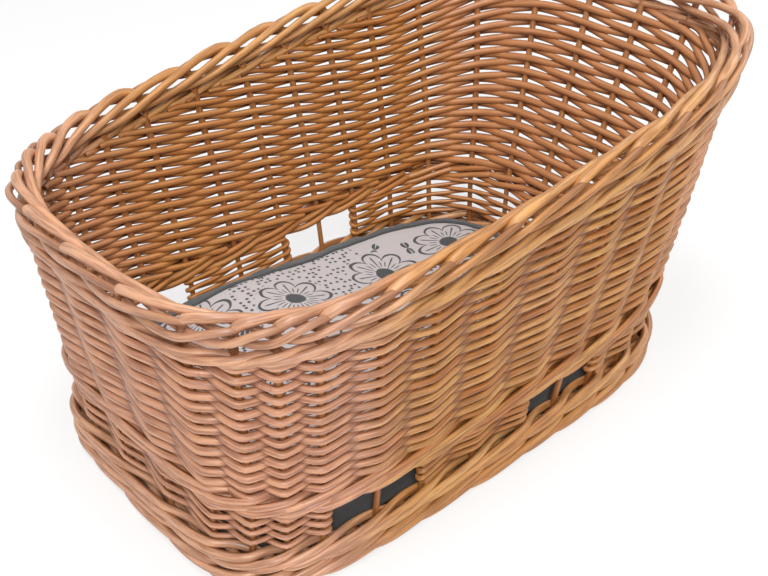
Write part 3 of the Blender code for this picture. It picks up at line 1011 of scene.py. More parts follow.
@dataclass
class Stakes:
    """The upright rods: thicker at the foot, bare in the windows, and full in the woven wall."""

    wall: WallMap
    radius: float = 0.0024
    foot_share: float = 1.06
    hidden_share: float = 1.28
    hidden_from: float = 1.5
    foot: float = 0.0015
    shade: float = 0.25
    waver: Waver = Waver(0.0005, (0.11, 0.06))
    steps: int = 26
    seed: int = 5

    def rods(self) -> list[Rod]:
        """Middle lines of all stakes.

        Returns:
            One rod for each stake.
        """
        rng = np.random.default_rng(self.seed)
        shape = self.wall.shape
        bare = shape.middle_wale_height
        made = []
        for number in range(shape.stake_count):
            place = np.full(self.steps, float(number))
            turn = self.wall.turn(place)
            head = shape.top_wale_head(turn + self.wall.drift(turn)) - 2.0 * shape.seat_gap
            height = np.linspace(0.0, 1.0, self.steps) * (head - self.foot) + self.foot
            points = self.wall.point(place, height, self.waver.along(rng, height))
            shares = (self.foot_share, 1.0, self.hidden_share)
            radius = self.radius * np.interp(height, (0.0, bare, self.hidden_from * bare), shares)
            made.append(Rod(points, radius, np.full(self.steps, self.shade), rng.random()))
        return made

    def dress(self, kit: RodKit, bark: Material) -> None:
        """Make the stakes and tie them to the frame.

        Args:
            kit: Maker of rods.
            bark: Their bark.
        """
        piece = kit.make("stakes", self.rods(), bark, sides=10)
        nodes = ["stake_{:02d}".format(number + 1) for number in range(self.wall.shape.stake_count)]
        hand_over(piece, Body.BASKET, Slot.DARK, nodes)


@dataclass
class SideWeave:
    """The main woven wall: rods that climb as they pass outside one stake and inside the next.

    climb gives how steeply they rise at places round the basket, each against the others.
    """

    wall: WallMap
    outer: float = 0.0041
    inner: float = 0.0027
    bend: StakeBend = StakeBend()
    fullness: float = 0.595
    front_fullness: float = 0.06
    front_pitch: float = 0.0052
    near_pitch: float = 0.0046
    far_pitch: float = 0.0050
    rear_pitch: float = 0.0061
    end_squareness: float = 4.0
    front_end: float = 0.7
    front_curve: float = 2.0
    rear_end: float = 0.55
    rear_curve: float = 1.5
    rows_per_lap: int = 24
    overrun: float = 0.0042
    spare_row: float = 0.45
    foot_overlap: float = 0.1
    lead_in: float = 0.75
    laps: float = 3.0
    search_step: float = 0.125
    fewest_steps: int = 8
    climb: tuple[Pair, ...] = (
        (0.0, 1.0), (1.5, 2.0), (6.0, 2.0), (8.0, 1.0), (10.0, 0.3), (14.0, 0.3),
        (16.0, 0.8), (19.0, 1.0), (25.0, 1.1), (27.0, 0.1), (30.0, 0.1), (32.0, 1.0),
    )
    climb_steps: int = 1025
    size_spread: Pair = (0.94, 1.07)
    butt_to_tip: Pair = (1.06, 0.92)
    end_size: float = 0.75
    end_reach: float = 0.6
    end_tuck: float = 0.5
    rise_waver: Waver = Waver(0.0004, (3.7, 1.6, 9.0))
    bend_waver: Waver = Waver(0.06, (5.3, 2.1))
    steps_per_stake: int = 10
    seed: int = 11

    def __post_init__(self) -> None:
        """Add up the climb round one lap."""
        marks = np.array(self.climb)
        self.lap_place = np.linspace(0.0, float(self.wall.shape.stake_count), self.climb_steps)
        rate = np.interp(self.lap_place, marks[:, 0], marks[:, 1])
        rise = np.concatenate([[0.0], np.cumsum((rate[1:] + rate[:-1]) / 2.0)])
        self.lap_rise = rise / rise[-1] * self.rows_per_lap

    def risen(self, place: Array) -> Array:
        """Rows that a rod has climbed.

        Args:
            place: Places counted in stakes.

        Returns:
            Rows since the first lap's start, for each place.
        """
        count = self.wall.shape.stake_count
        laps = np.floor(place / count)
        within = np.interp(place - laps * count, self.lap_place, self.lap_rise)
        return laps * self.rows_per_lap + within

    def along(self, turn: Array) -> Array:
        """Place along the basket: -1 across the low end, 1 across the raised end."""
        return np.cos(turn) * self.wall.shape.reach(turn, self.end_squareness)

    def front_share(self, turn: Array) -> Array:
        """1 in the middle of the low front end, falling to 0 on the sides."""
        share = (-self.along(turn) - self.front_end) / (1.0 - self.front_end)
        return np.clip(share, 0.0, 1.0) ** self.front_curve

    def pitch(self, turn: Array) -> Array:
        """Height of one row.

        Args:
            turn: Turn angles.

        Returns:
            The height for each angle.
        """
        share = (self.along(turn) - self.rear_end) / (1.0 - self.rear_end)
        rear = np.clip(share, 0.0, 1.0) ** self.rear_curve
        far = 0.5 + 0.5 * np.sin(turn)
        side = self.near_pitch + (self.far_pitch - self.near_pitch) * far
        front = (self.front_pitch - side) * self.front_share(turn)
        return side + front + (self.rear_pitch - side) * rear

    def row_height(self, row: Array, place: Array) -> Array:
        """Height of a rod's middle line for its row.

        Args:
            row: Rows above the weave's foot.
            place: Places counted in stakes.

        Returns:
            The height at each place.
        """
        shape = self.wall.shape
        foot = self.wall.turn(place)
        share = (row + 0.5) * self.pitch(foot) / (shape.weave_head(foot) - shape.weave_foot(foot))
        turn = self.wall.turn_up(place, share)
        return shape.weave_foot(turn) + (row + 0.5) * self.pitch(turn)

    def room(self, row: Array, place: Array) -> Array:
        """Room between a rod and the top wale.

        Args:
            row: Rows above the weave's foot.
            place: Places counted in stakes.

        Returns:
            The room at each place, less than 0 above the weave's head.
        """
        height = self.row_height(row, place)
        turn = self.wall.turn_up(place, self.wall.rise_share(place, height))
        return self.wall.shape.weave_head(turn) - height

    def rod(self, number: int, start: float, end: float, rng: Random) -> Rod:
        """One climbing rod.

        Args:
            number: Number of the rod; neighbours pass outside of alternate stakes.
            start: First place.
            end: Last place.
            rng: Source of its unevenness.

        Returns:
            The rod.
        """
        shape = self.wall.shape
        steps = int((end - start) * self.steps_per_stake) + 2
        place = np.linspace(start, end, steps)
        outward, wave = self.bend.path(place + number, self.outer, self.inner)
        size = rng.uniform(*self.size_spread)
        ends = taper_ends(place, self.end_size, self.end_reach)
        taper = np.linspace(*self.butt_to_tip, steps)
        height = self.row_height(self.risen(place) - number, place)
        height = height + self.rise_waver.along(rng, place)
        turn = self.wall.turn_up(place, self.wall.rise_share(place, height))
        full = self.fullness + self.front_fullness * self.front_share(turn)
        radius = full * self.pitch(turn) * size * taper * ends
        height = np.minimum(height, shape.weave_head(turn) + self.overrun)
        height = np.maximum(height, shape.weave_foot(turn) - radius * self.foot_overlap)
        outward = outward * (1.0 + self.bend_waver.along(rng, place))
        near_end = np.clip(1.0 - from_ends(place) / self.end_tuck, 0.0, 1.0)
        outward = outward * (1.0 - near_end) - self.inner * near_end
        points = self.wall.point(place, height, outward)
        return Rod(points, radius, np.zeros(steps), rng.random(), wave)

    def rods(self) -> list[Rod]:
        """All rods, each from where it starts at the middle wale to where it meets the top wale.

        Returns:
            The rods, from the lowest start up.
        """
        rng = np.random.default_rng(self.seed)
        least_room = -self.spare_row * self.near_pitch - self.overrun
        made = []
        for number in range(self.rows_per_lap):
            first = float(np.interp(number - self.lead_in, self.lap_rise, self.lap_place))
            last = first + self.laps * self.wall.shape.stake_count
            place = np.arange(first, last, self.search_step)
            fits = self.room(self.risen(place) - number, place) > least_room
            edges = np.flatnonzero(np.diff(np.concatenate([[0], fits.astype(int), [0]])))
            for begin, stop in zip(edges[::2], edges[1::2]):
                if stop - begin >= self.fewest_steps:
                    made.append(self.rod(number, place[begin], place[stop - 1], rng))
        return made

    def dress(self, kit: RodKit, bark: Material) -> None:
        """Make the rods in two pieces and tie them to the frame.

        Args:
            kit: Maker of rods.
            bark: Their bark.
        """
        rods = self.rods()
        for name, part in (("side_weave_even", rods[::2]), ("side_weave_odd", rods[1::2])):
            piece = kit.make(name, part, bark)
            hand_over(piece, Body.BASKET, Slot.GOLD, ["side_weave"])


@dataclass
class Wale:
    """A band of rods that wind in front of several stakes and behind one.

    line gives the height of its middle, swing and lift how far a rod winds out and up, and bias
    how much longer it stays outside than inside.
    """

    wall: WallMap
    name: str
    node: str
    line: Callable[[Array], Array]
    strands: int
    rounds: int
    radius: float
    swing: float
    lift: float
    middle: float
    bias: float
    start: int
    seed: int
    round_height: float = 0.0
    round_shift: int = 5
    overlap: float = 0.4
    sharpness: float = 1.5
    shading: float = 0.8
    end_size: float = 0.7
    size_spread: Pair = (0.93, 1.07)
    out_waver: Waver = Waver(0.0006, (4.4, 7.1))
    up_waver: Waver = Waver(0.0005, (3.1, 8.3))
    steps_per_stake: int = 7

    def rod(self, lap: int, strand: int, rng: Random) -> Rod:
        """One rod, once round the basket.

        Args:
            lap: Number of its round.
            strand: Number of the rod in that round.
            rng: Source of its unevenness.

        Returns:
            The rod.
        """
        count = self.wall.shape.stake_count
        level = (lap - (self.rounds - 1) / 2.0) * self.round_height
        first = self.start + strand - count + lap * self.round_shift
        steps = count * self.steps_per_stake
        place = np.linspace(first - self.overlap, first + count + self.overlap, steps)
        phase = FULL_TURN * (place - first) / self.strands + math.pi
        wave = soft_square(np.cos(phase) + self.bias, self.sharpness)
        outward = self.middle + self.swing * wave + self.out_waver.along(rng, place)
        up = self.lift * np.sin(phase) + self.up_waver.along(rng, place)
        share = self.wall.rise_share(place, self.line(self.wall.turn(place)))
        height = self.line(self.wall.turn_up(place, share)) + level + up
        size = self.radius * rng.uniform(*self.size_spread)
        radius = size * taper_ends(place, self.end_size, 1.0)
        points = self.wall.point(place, height, outward)
        # The swing also sets the painted shade where a rod lies behind.
        return Rod(points, radius, np.zeros(steps), rng.random(), wave * self.shading)

    def dress(self, kit: RodKit, bark: Material) -> None:
        """Make the band and tie it to the frame.

        Args:
            kit: Maker of rods.
            bark: Their bark.
        """
        rng = np.random.default_rng(self.seed)
        places = [(lap, strand) for lap in range(self.rounds) for strand in range(self.strands)]
        rods = [self.rod(lap, strand, rng) for lap, strand in places]
        piece = kit.make(self.name, rods, bark, sides=10)
        hand_over(piece, Body.BASKET, Slot.PALE, [self.node])


@dataclass
class LowerPanels:
    """The woven panels below the middle wale, with the windows left open between them.

    panels gives each panel's first and last stake, by the name of its frame node.
    """

    wall: WallMap
    panels: tuple[tuple[str, int, int], ...] = (
        ("lower_weave_right", 3, 5),
        ("lower_weave_front", 7, 16),
        ("lower_weave_left", 18, 20),
        ("lower_weave_rear", 22, 33),
    )
    rows: int = 8
    radius: float = 0.00214
    outer: float = 0.0038
    inner: float = 0.0030
    bend: StakeBend = StakeBend()
    loop_reach: float = 0.0044
    loop_steps: int = 6
    loop_probe: float = 0.05
    probe_height: float = 0.05
    rise_waver: Waver = Waver(0.0003, (2.7, 1.3))
    size_waver: Waver = Waver(0.06, (3.0, 1.7))
    size_steps: float = 20.0
    steps_per_stake: int = 8
    seed: int = 23

    def at_stake(self, place: float) -> float:
        """Outward distance of the path at a stake."""
        return self.outer if int(place) % 2 == 0 else -self.inner

    def row_height(self, row: float | Array, place: Array) -> Array:
        """Height of a row's middle line.

        Args:
            row: Number of the row, or rows.
            place: Places counted in stakes.

        Returns:
            The height at each place.
        """
        shape = self.wall.shape
        foot = shape.foot_wale_height + shape.seat_gap
        head = shape.middle_height(self.wall.turn(place)) - shape.seat_gap
        return foot + (head - foot) * (row + 0.5) / self.rows

    def loop(self, edge: float, row: int, way: float, before: float, after: float) -> Array:
        """The turn of a rod round a panel's edge stake, up to the next row.

        Args:
            edge: The edge stake.
            row: Row that the turn leaves.
            way: 1 where that row runs toward higher stakes, -1 where it runs back.
            before: Outward distance at the turn's start.
            after: Outward distance at its end.

        Returns:
            The turn's points.
        """
        turns = np.linspace(0.0, math.pi, self.loop_steps + 2)[1:-1]
        sides = np.array([edge - self.loop_probe, edge + self.loop_probe])
        bare = self.wall.point(sides, np.full(2, self.probe_height), np.zeros(2))
        along = (bare[1] - bare[0]) / np.linalg.norm(bare[1] - bare[0]) * way
        rise = self.row_height(float(row) + turns / math.pi, np.full_like(turns, edge))
        across = before * np.cos(turns / 2.0) ** 2 + after * np.sin(turns / 2.0) ** 2
        around = self.wall.point(np.full_like(turns, edge), rise, across)
        return around + along[None, :] * (self.loop_reach * np.sin(turns))[:, None]

    def rod(self, first: int, last: int, rng: Random) -> Rod:
        """One rod that runs to and fro across a panel and turns round its edge stakes.

        Args:
            first: First stake of the panel.
            last: Last stake of the panel.
            rng: Source of its unevenness.

        Returns:
            The rod.
        """
        points, swings = [], []
        steps = (last - first) * self.steps_per_stake + 1
        for row in range(self.rows):
            start, end = (last, first) if row % 2 else (first, last)
            place = np.linspace(start, end, steps)
            outward, wave = self.bend.path(place - first + row, self.outer, self.inner)
            level = self.row_height(float(row), place) + self.rise_waver.along(rng, place)
            points.append(self.wall.point(place, level, outward))
            swings.append(wave)
            if row < self.rows - 1:
                way = -1.0 if row % 2 else 1.0
                after = self.at_stake(end - first + row + 1)
                points.append(self.loop(float(end), row, way, outward[-1], after))
                swings.append(np.zeros(self.loop_steps))
        line = np.concatenate(points)
        run = np.arange(len(line)) / self.size_steps
        radius = self.radius * (1.0 + self.size_waver.along(rng, run))
        return Rod(line, radius, np.zeros(len(line)), rng.random(), np.concatenate(swings))

    def dress(self, kit: RodKit, bark: Material) -> None:
        """Make the four panels and tie them to the frame.

        Args:
            kit: Maker of rods.
            bark: Their bark.
        """
        rng = np.random.default_rng(self.seed)
        for node, first, last in self.panels:
            name = node.replace("lower_weave", "lower_panel")
            piece = kit.make(name, [self.rod(first, last, rng)], bark)
            hand_over(piece, Body.BASKET, Slot.GOLD, [node])


@dataclass
class Border:
    """The rope-like rim: each stake is bent over and laid round its neighbours.

    lay gives, at places from the stake on, how far a strand lies outward and above the rim's
    middle line. girth and shade give its thickness and the shade painted on it where it dives under
    its neighbours, at places of their own.
    """

    wall: WallMap
    radius: float = 0.0039
    lay: tuple[Triple, ...] = (
        (-0.04, 0.0, -0.0150), (-0.02, 0.0002, -0.0090), (0.00, 0.0006, -0.0030),
        (0.08, 0.0014, 0.0032), (0.24, 0.0018, 0.0074), (0.60, 0.0003, 0.0093),
        (1.10, -0.0040, 0.0077), (1.60, -0.0072, 0.0043), (2.10, -0.0081, -0.0002),
        (2.60, -0.0064, -0.0047), (3.10, -0.0021, -0.0075), (3.60, 0.0033, -0.0064),
        (4.10, 0.0072, -0.0021), (4.60, 0.0074, 0.0040), (5.10, 0.0038, 0.0050),
        (5.60, -0.0020, 0.0010),
    )
    girth: tuple[Pair, ...] = (
        (-0.04, 0.66), (0.05, 0.9), (0.15, 1.0), (0.4, 1.0),
        (1.0, 0.87), (2.0, 0.8), (4.0, 0.72), (5.1, 0.66),
    )
    shade: tuple[Pair, ...] = (
        (-0.04, 0.95), (0.03, 0.7), (0.10, 0.0), (2.8, 0.1), (4.2, 0.2), (5.1, 0.9),
    )
    elbow_marks: tuple[float, ...] = (-0.03, -0.01, 0.01, 0.025, 0.04, 0.08, 0.11, 0.15)
    reach: float = 5.22
    reach_spread: float = 0.06
    looseness: Pair = (0.94, 1.12)
    size_spread: Pair = (0.93, 1.06)
    out_waver: Waver = Waver(0.0007, (2.3, 3.9))
    up_waver: Waver = Waver(0.0007, (2.9, 4.7))
    steps_per_stake: int = 9
    spare_steps: int = 6
    seed: int = 31

    def rods(self) -> list[Rod]:
        """Middle lines of the border's strands.

        Returns:
            One rod for each stake.
        """
        rng = np.random.default_rng(self.seed)
        table, girth, shade = np.array(self.lay), np.array(self.girth), np.array(self.shade)
        begin = table[0, 0]
        made = []
        for number in range(self.wall.shape.stake_count):
            reach = self.reach - rng.uniform(0.0, self.reach_spread)
            steps = int((reach - begin) * self.steps_per_stake) + self.spare_steps
            run = np.sort(np.concatenate([np.linspace(begin, reach, steps), self.elbow_marks]))
            out = smooth_through(table[:, 0], table[:, 1], run)
            up = smooth_through(table[:, 0], table[:, 2], run)
            loose = rng.uniform(*self.looseness)
            out = out * loose + self.out_waver.along(rng, run)
            up = up * loose + self.up_waver.along(rng, run)
            foot = self.wall.turn(number + run)
            turn = foot + self.wall.drift(foot)
            points = self.wall.shape.point(turn, self.wall.shape.rim_height(turn) + up, out)
            grown = np.interp(run, girth[:, 0], girth[:, 1])
            radius = self.radius * grown * rng.uniform(*self.size_spread)
            # Painted shade where the strand's ends dive under its neighbours.
            dark = np.interp(run, shade[:, 0], shade[:, 1])
            made.append(Rod(points, radius, dark, rng.random()))
        return made

    def dress(self, kit: RodKit, bark: Material) -> None:
        """Make the border and tie it to the frame.

        Args:
            kit: Maker of rods.
            bark: Their bark.
        """
        piece = kit.make("border", self.rods(), bark, sides=12)
        nodes = ["border_rod_{}".format(rod) for rod in (1, 2, 3, 4)]
        hand_over(piece, Body.BASKET, Slot.PALE, nodes)


@dataclass
class Floor:
    """The woven base: long sticks with rods across them."""

    shape: BasketShape
    stick_radius: float = 0.0026
    stick_waver: Waver = Waver(0.0006, (0.17, 0.09))
    stick_shade: float = 0.3
    stick_steps: int = 40
    rod_radius: float = 0.0018
    rod_waver: Waver = Waver(0.0004, (0.06, 0.11))
    rod_spread: Pair = (0.9, 1.08)
    rod_steps: int = 48
    sticks: int = 7
    inset: float = 0.032
    end_gap: float = 0.004
    outline_margin: float = 0.004
    pitch: float = 0.0044
    swing: float = 0.0037
    sharpness: float = 1.3
    under_wale: float = 0.0045
    widest_share: float = 0.999
    seed: int = 41

    def edge_gap(self) -> float:
        """How far the floor lies inside the middle of the wall."""
        return self.shape.half_wall + self.shape.seat_gap

    def places(self) -> Array:
        """Places of the sticks across the floor."""
        outermost = self.shape.half_width - self.edge_gap() - self.inset
        return np.linspace(-outermost, outermost, self.sticks)

    def reach(self, share: float) -> float:
        """Reach of the outline in one direction, as a share, at a share of the other."""
        power = self.shape.foot_squareness
        return float((1.0 - np.minimum(np.abs(share), self.widest_share) ** power) ** (1.0 / power))

    def stick_rods(self) -> list[Rod]:
        """Middle lines of the sticks.

        Returns:
            One rod for each stick.
        """
        rng = np.random.default_rng(self.seed)
        steps = self.stick_steps
        length = self.shape.half_length - self.edge_gap()
        made = []
        for across in self.places():
            half = length * self.reach(across / self.shape.half_width)
            along = np.linspace(-half + self.end_gap, half - self.end_gap, steps)
            level = np.full_like(along, self.shape.base_thickness / 2.0)
            line = across + self.stick_waver.along(rng, along)
            points = np.stack([along, line, level], axis=-1)
            radius = np.full(steps, self.stick_radius)
            made.append(Rod(points, radius, np.full(steps, self.stick_shade), rng.random()))
        return made

    def weave_rods(self) -> list[Rod]:
        """Middle lines of the rods across the sticks.

        Returns:
            One rod for each row.
        """
        rng = np.random.default_rng(self.seed + 1)
        sticks = self.places()
        gap = sticks[1] - sticks[0]
        length = self.shape.half_length - self.edge_gap() + self.rod_radius
        width = self.shape.half_width - self.edge_gap() + self.under_wale
        made = []
        for row, along in enumerate(np.arange(-length, length, self.pitch)):
            half = width * self.reach(along / (length + self.outline_margin))
            if half < gap:
                continue
            across = np.linspace(-half, half, self.rod_steps)
            side = -1.0 if row % 2 else 1.0
            swung = np.cos(math.pi * (across - sticks[0]) / gap) * side
            wave = soft_square(swung, self.sharpness)
            level = self.shape.base_thickness / 2.0 + self.swing * wave
            line = along + self.rod_waver.along(rng, across)
            points = np.stack([line, across, level], axis=-1)
            radius = self.rod_radius * rng.uniform(*self.rod_spread) * np.ones(self.rod_steps)
            # Painted shade where the rod dives between the sticks.
            made.append(Rod(points, radius, 1.0 - np.abs(wave), rng.random()))
        return made

    def dress(self, kit: RodKit, bark: Material, stick_bark: Material) -> None:
        """Make the floor's two pieces and tie them to the frame.

        Args:
            kit: Maker of rods.
            bark: Bark of the rods across.
            stick_bark: Bark of the sticks.
        """
        weave = kit.make("floor_weave", self.weave_rods(), bark, sides=6)
        hand_over(weave, Body.BASKET, Slot.GOLD, ["base_weave"])
        sticks = kit.make("floor_sticks", self.stick_rods(), stick_bark)
        nodes = ["base_stick_{}".format(number + 1) for number in range(self.sticks)]
        hand_over(sticks, Body.BASKET, Slot.DARK, nodes)


@dataclass(frozen=True)
class ClothThreads:
    """The crossing threads of a plain cloth, with small slubs in them."""

    rib_band: Pair = (-0.6, 0.6)
    slub_scale: float = 420.0
    rib_share: float = 0.5
    slub_share: float = 0.5

    def group(self) -> Tree:
        """Node group for the threads.

        Returns:
            The group, with a colour, threads a metre and contrast as inputs.
        """
        inputs = {"Colour": "Color", "Threads": "Float", "Contrast": "Float"}
        outputs = {"Colour": "Color", "Height": "Float"}
        group, kit, start, end = new_group("plain_cloth", inputs, outputs)
        spot = kit.object_place()
        turns = [kit.times(part, start["Threads"]) for part in kit.parts(spot)[:2]]
        waves = [kit.math("SINE", turn) for turn in turns]
        rib = kit.band(kit.times(*waves), self.rib_band)
        slub = kit.noise(spot, self.slub_scale)
        tint = kit.plus(kit.times(rib, self.rib_share), kit.times(slub, self.slub_share))
        dim = kit.less(1.0, kit.times(kit.less(1.0, tint), start["Contrast"]))
        grey = kit.add("ShaderNodeCombineColor", dict.fromkeys(range(3), dim)).outputs[0]
        colour = kit.blend(1.0, start["Colour"], grey, "MULTIPLY")
        kit.wire(end, {"Colour": colour, "Height": tint})
        return group


@dataclass(frozen=True)
class DaisyPrint:
    """A plain all-over print of daisies, leaves and dots.

    Distances are shares of the flowers' spacing, and scales are repeats for each metre.
    """

    wander_scale: float = 60.0
    wander: float = 0.05
    slant: float = 0.7
    looseness: float = 0.45
    shift: float = 0.031
    half_petals: float = 4.0
    spin: float = 6.0
    petal_curve: float = 0.6
    petal_depth: float = 0.15
    petal_reach: float = 0.25
    outline_band: Pair = (0.023, 0.014)
    rays_a_petal: float = 6.0
    ray_band: Pair = (0.35, 0.9)
    ray_tip: Pair = (0.26, 0.2)
    ray_foot: Pair = (0.13, 0.15)
    heart_band: Pair = (0.115, 0.1)
    vein_band: Pair = (0.985, 0.995)
    vein_tip: Pair = (0.36, 0.3)
    leaf_scale: float = 34.0
    leaf_shift: float = 0.2
    leaf_spin: float = 9.0
    leaf_curve: float = 3.0
    leaf_length: float = 0.42
    leaf_edge: Pair = (0.0, 0.02)
    leaf_rib: Pair = (0.05, 0.09)
    leaves_kept: Pair = (0.5, 0.52)
    dot_scale: float = 165.0
    dot_looseness: float = 0.55
    dot_shift: float = 0.11
    dot_band: Pair = (0.3, 0.22)
    dots_kept: Pair = (0.18, 0.2)
    field_scale: float = 16.0
    field_band: Pair = (0.47, 0.49)
    clear_band: Pair = (0.42, 0.45)
    wear_band: Pair = (0.15, 0.4)
    wear: Pair = (0.75, 1.0)

    def cells(
        self, kit: NodeTree, spot: Socket, scale: object, looseness: float, shift: float
    ) -> tuple[Socket, Socket, Socket]:
        """Scatter cells over the cloth.

        Args:
            kit: The group's tree helper.
            spot: Place on the cloth.
            scale: Cells for each metre, as a number or a socket.
            looseness: 0 for a plain grid, 1 for fully scattered cells.
            shift: How far the grid is moved, in metres.

        Returns:
            Distance and angle from the nearest cell's middle, and that cell's own random tone.
        """
        shifted = (shift, shift * self.slant, 0.0)
        inputs = {"Vector": spot, "Location": shifted, "Scale": (1.0, 1.0, 0.0)}
        moved = kit.add("ShaderNodeMapping", inputs).outputs[0]
        inputs = {"Vector": moved, "Scale": scale, "Randomness": looseness}
        cell = kit.add("ShaderNodeTexVoronoi", inputs, voronoi_dimensions="2D", feature="F1")
        ends = {}
        for number, end in enumerate((moved, cell.outputs["Position"])):
            inputs = {0: end, "Scale": scale}
            ends[number] = kit.add("ShaderNodeVectorMath", inputs, operation="SCALE").outputs[0]
        away = kit.add("ShaderNodeVectorMath", ends, operation="SUBTRACT").outputs[0]
        parts = kit.parts(away)
        angle = kit.math("ARCTAN2", parts[1], parts[0])
        tone = kit.add("ShaderNodeSeparateColor", {0: cell.outputs["Color"]}).outputs[0]
        return cell.outputs["Distance"], angle, tone

    def flower(self, kit: NodeTree, radius: Socket, turned: Socket) -> Socket:
        """Ink of one daisy: its outline, the rays and veins in its petals, and its heart.

        Args:
            kit: The group's tree helper.
            radius: Distance from the flower's middle.
            turned: Angle round it, times half the number of petals.

        Returns:
            1 where there is ink.
        """
        lobe = kit.size_of("COSINE", turned)
        petal = kit.times(kit.math("POWER", lobe, self.petal_curve), self.petal_depth)
        off_edge = kit.size_of("SUBTRACT", radius, kit.plus(petal, self.petal_reach))
        outline = kit.band(off_edge, self.outline_band)
        rays = kit.band(kit.math("COSINE", kit.times(turned, self.rays_a_petal)), self.ray_band)
        within = kit.times(kit.band(radius, self.ray_tip), kit.band(radius, self.ray_foot))
        heart = kit.band(radius, self.heart_band)
        vein = kit.times(kit.band(lobe, self.vein_band), kit.band(radius, self.vein_tip))
        return kit.most(kit.most(outline, kit.times(rays, within)), kit.most(heart, vein))

    def leaves(self, kit: NodeTree, spot: Socket) -> Socket:
        """Ink of the leaf sprigs between the flowers.

        Args:
            kit: The group's tree helper.
            spot: Place on the cloth.

        Returns:
            1 where there is ink.
        """
        away, angle, tone = self.cells(kit, spot, self.leaf_scale, 1.0, self.leaf_shift)
        swung = kit.plus(angle, kit.times(tone, self.leaf_spin))
        lobe = kit.size_of("COSINE", swung)
        edge = kit.times(kit.math("POWER", lobe, self.leaf_curve), self.leaf_length)
        leaf = kit.band(kit.less(edge, away), self.leaf_edge)
        rib = kit.band(kit.size_of("SINE", swung), self.leaf_rib)
        return kit.times(kit.times(leaf, rib), kit.band(tone, self.leaves_kept))

    def dots(self, kit: NodeTree, spot: Socket) -> Socket:
        """Ink of the fields of dots.

        Args:
            kit: The group's tree helper.
            spot: Place on the cloth.

        Returns:
            1 where there is ink.
        """
        away, _, tone = self.cells(kit, spot, self.dot_scale, self.dot_looseness, self.dot_shift)
        dots = kit.times(kit.band(away, self.dot_band), kit.band(tone, self.dots_kept))
        return kit.times(dots, kit.band(kit.noise(spot, self.field_scale, 0.0), self.field_band))

    def group(self) -> Tree:
        """Node group for the print.

        Returns:
            The group, with the flowers a metre as input; its output is 1 where there is ink.
        """
        group, kit, start, end = new_group("daisy_print", {"Repeat": "Float"}, {"Ink": "Float"})
        spot = kit.object_place()
        wander = kit.noise(spot, self.wander_scale)
        away, angle, tone = self.cells(kit, spot, start["Repeat"], self.looseness, self.shift)
        radius = kit.plus(away, kit.times(kit.less(wander, 0.5), self.wander))
        turned = kit.plus(kit.times(angle, self.half_petals), kit.times(tone, self.spin))
        ground = kit.most(self.leaves(kit, spot), self.dots(kit, spot))
        ground = kit.times(ground, kit.band(radius, self.clear_band))
        ink = kit.most(self.flower(kit, radius, turned), ground)
        worn = kit.band(wander, self.wear_band, self.wear)
        kit.wire(end, {"Ink": kit.times(ink, worn)})
        return group


@dataclass(frozen=True)
class ClothFinish:
    """One kind of cotton cloth, with a print on it where it has an ink."""

    name: str
    colour: Triple
    contrast: float
    roughness: float
    sheen: float
    ink: Triple | None = None
    threads: float = 5200.0
    flowers_a_metre: float = 12.0
    relief: float = 0.0002
    sheen_roughness: float = 0.5

    def material(self, cloth: Tree, daisies: Tree) -> Material:
        """Build the material.

        Args:
            cloth: The shared cloth group.
            daisies: The shared print group.

        Returns:
            The material.
        """
        material, kit, shader = new_material(self.name)
        colour = (*self.colour, 1.0)
        if self.ink is not None:
            inputs = {"Repeat": self.flowers_a_metre}
            flowers = kit.add("ShaderNodeGroup", inputs, node_tree=daisies)
            colour = kit.blend(flowers.outputs["Ink"], colour, (*self.ink, 1.0))
        inputs = {"Colour": colour, "Threads": self.threads, "Contrast": self.contrast}
        threads = kit.add("ShaderNodeGroup", inputs, node_tree=cloth)
        look = {
            "Base Color": threads.outputs["Colour"],
            "Roughness": self.roughness,
            "Sheen Weight": self.sheen,
            "Sheen Roughness": self.sheen_roughness,
        }
        finish(kit, shader, threads.outputs["Height"], self.relief, look)
        return material


PRINTED_CLOTH = ClothFinish(
    name="printed_cloth",
    colour=(0.54, 0.505, 0.512),
    contrast=0.14,
    roughness=0.85,
    sheen=0.12,
    ink=(0.055, 0.06, 0.066),
)
CHARCOAL_CLOTH = ClothFinish(
    name="charcoal_cloth", colour=(0.062, 0.068, 0.072), contrast=0.4, roughness=0.8, sheen=0.2
)


def vertex_places(mesh: bpy.types.Mesh) -> Array:
    """Places of a mesh's vertices.

    Args:
        mesh: The mesh.

    Returns:
        One row of three coordinates for each vertex.
    """
    flat = np.zeros(len(mesh.vertices) * 3)
    mesh.vertices.foreach_get("co", flat)
    return flat.reshape(-1, 3)


def bridge(builder: bmesh.types.BMesh, before: list, after: list) -> None:
    """Join two closed loops of equally many vertices with four-sided faces.

    Args:
        builder: Mesh that is being built.
        before: Vertices of the first loop.
        after: Vertices of the second.
    """
    for step in range(len(before)):
        following = (step + 1) % len(before)
        builder.faces.new((before[step], before[following], after[following], after[step]))


def built_mesh(builder: bmesh.types.BMesh, name: str) -> Piece:
    """Finish a built mesh, with its faces pointing outwards.

    Args:
        builder: The closed mesh.
        name: Name of the piece.

    Returns:
        The piece.
    """
    bmesh.ops.recalc_face_normals(builder, faces=builder.faces)
    mesh = bpy.data.meshes.new(name)
    builder.to_mesh(mesh)
    builder.free()
    return put_in_scene(name, mesh)


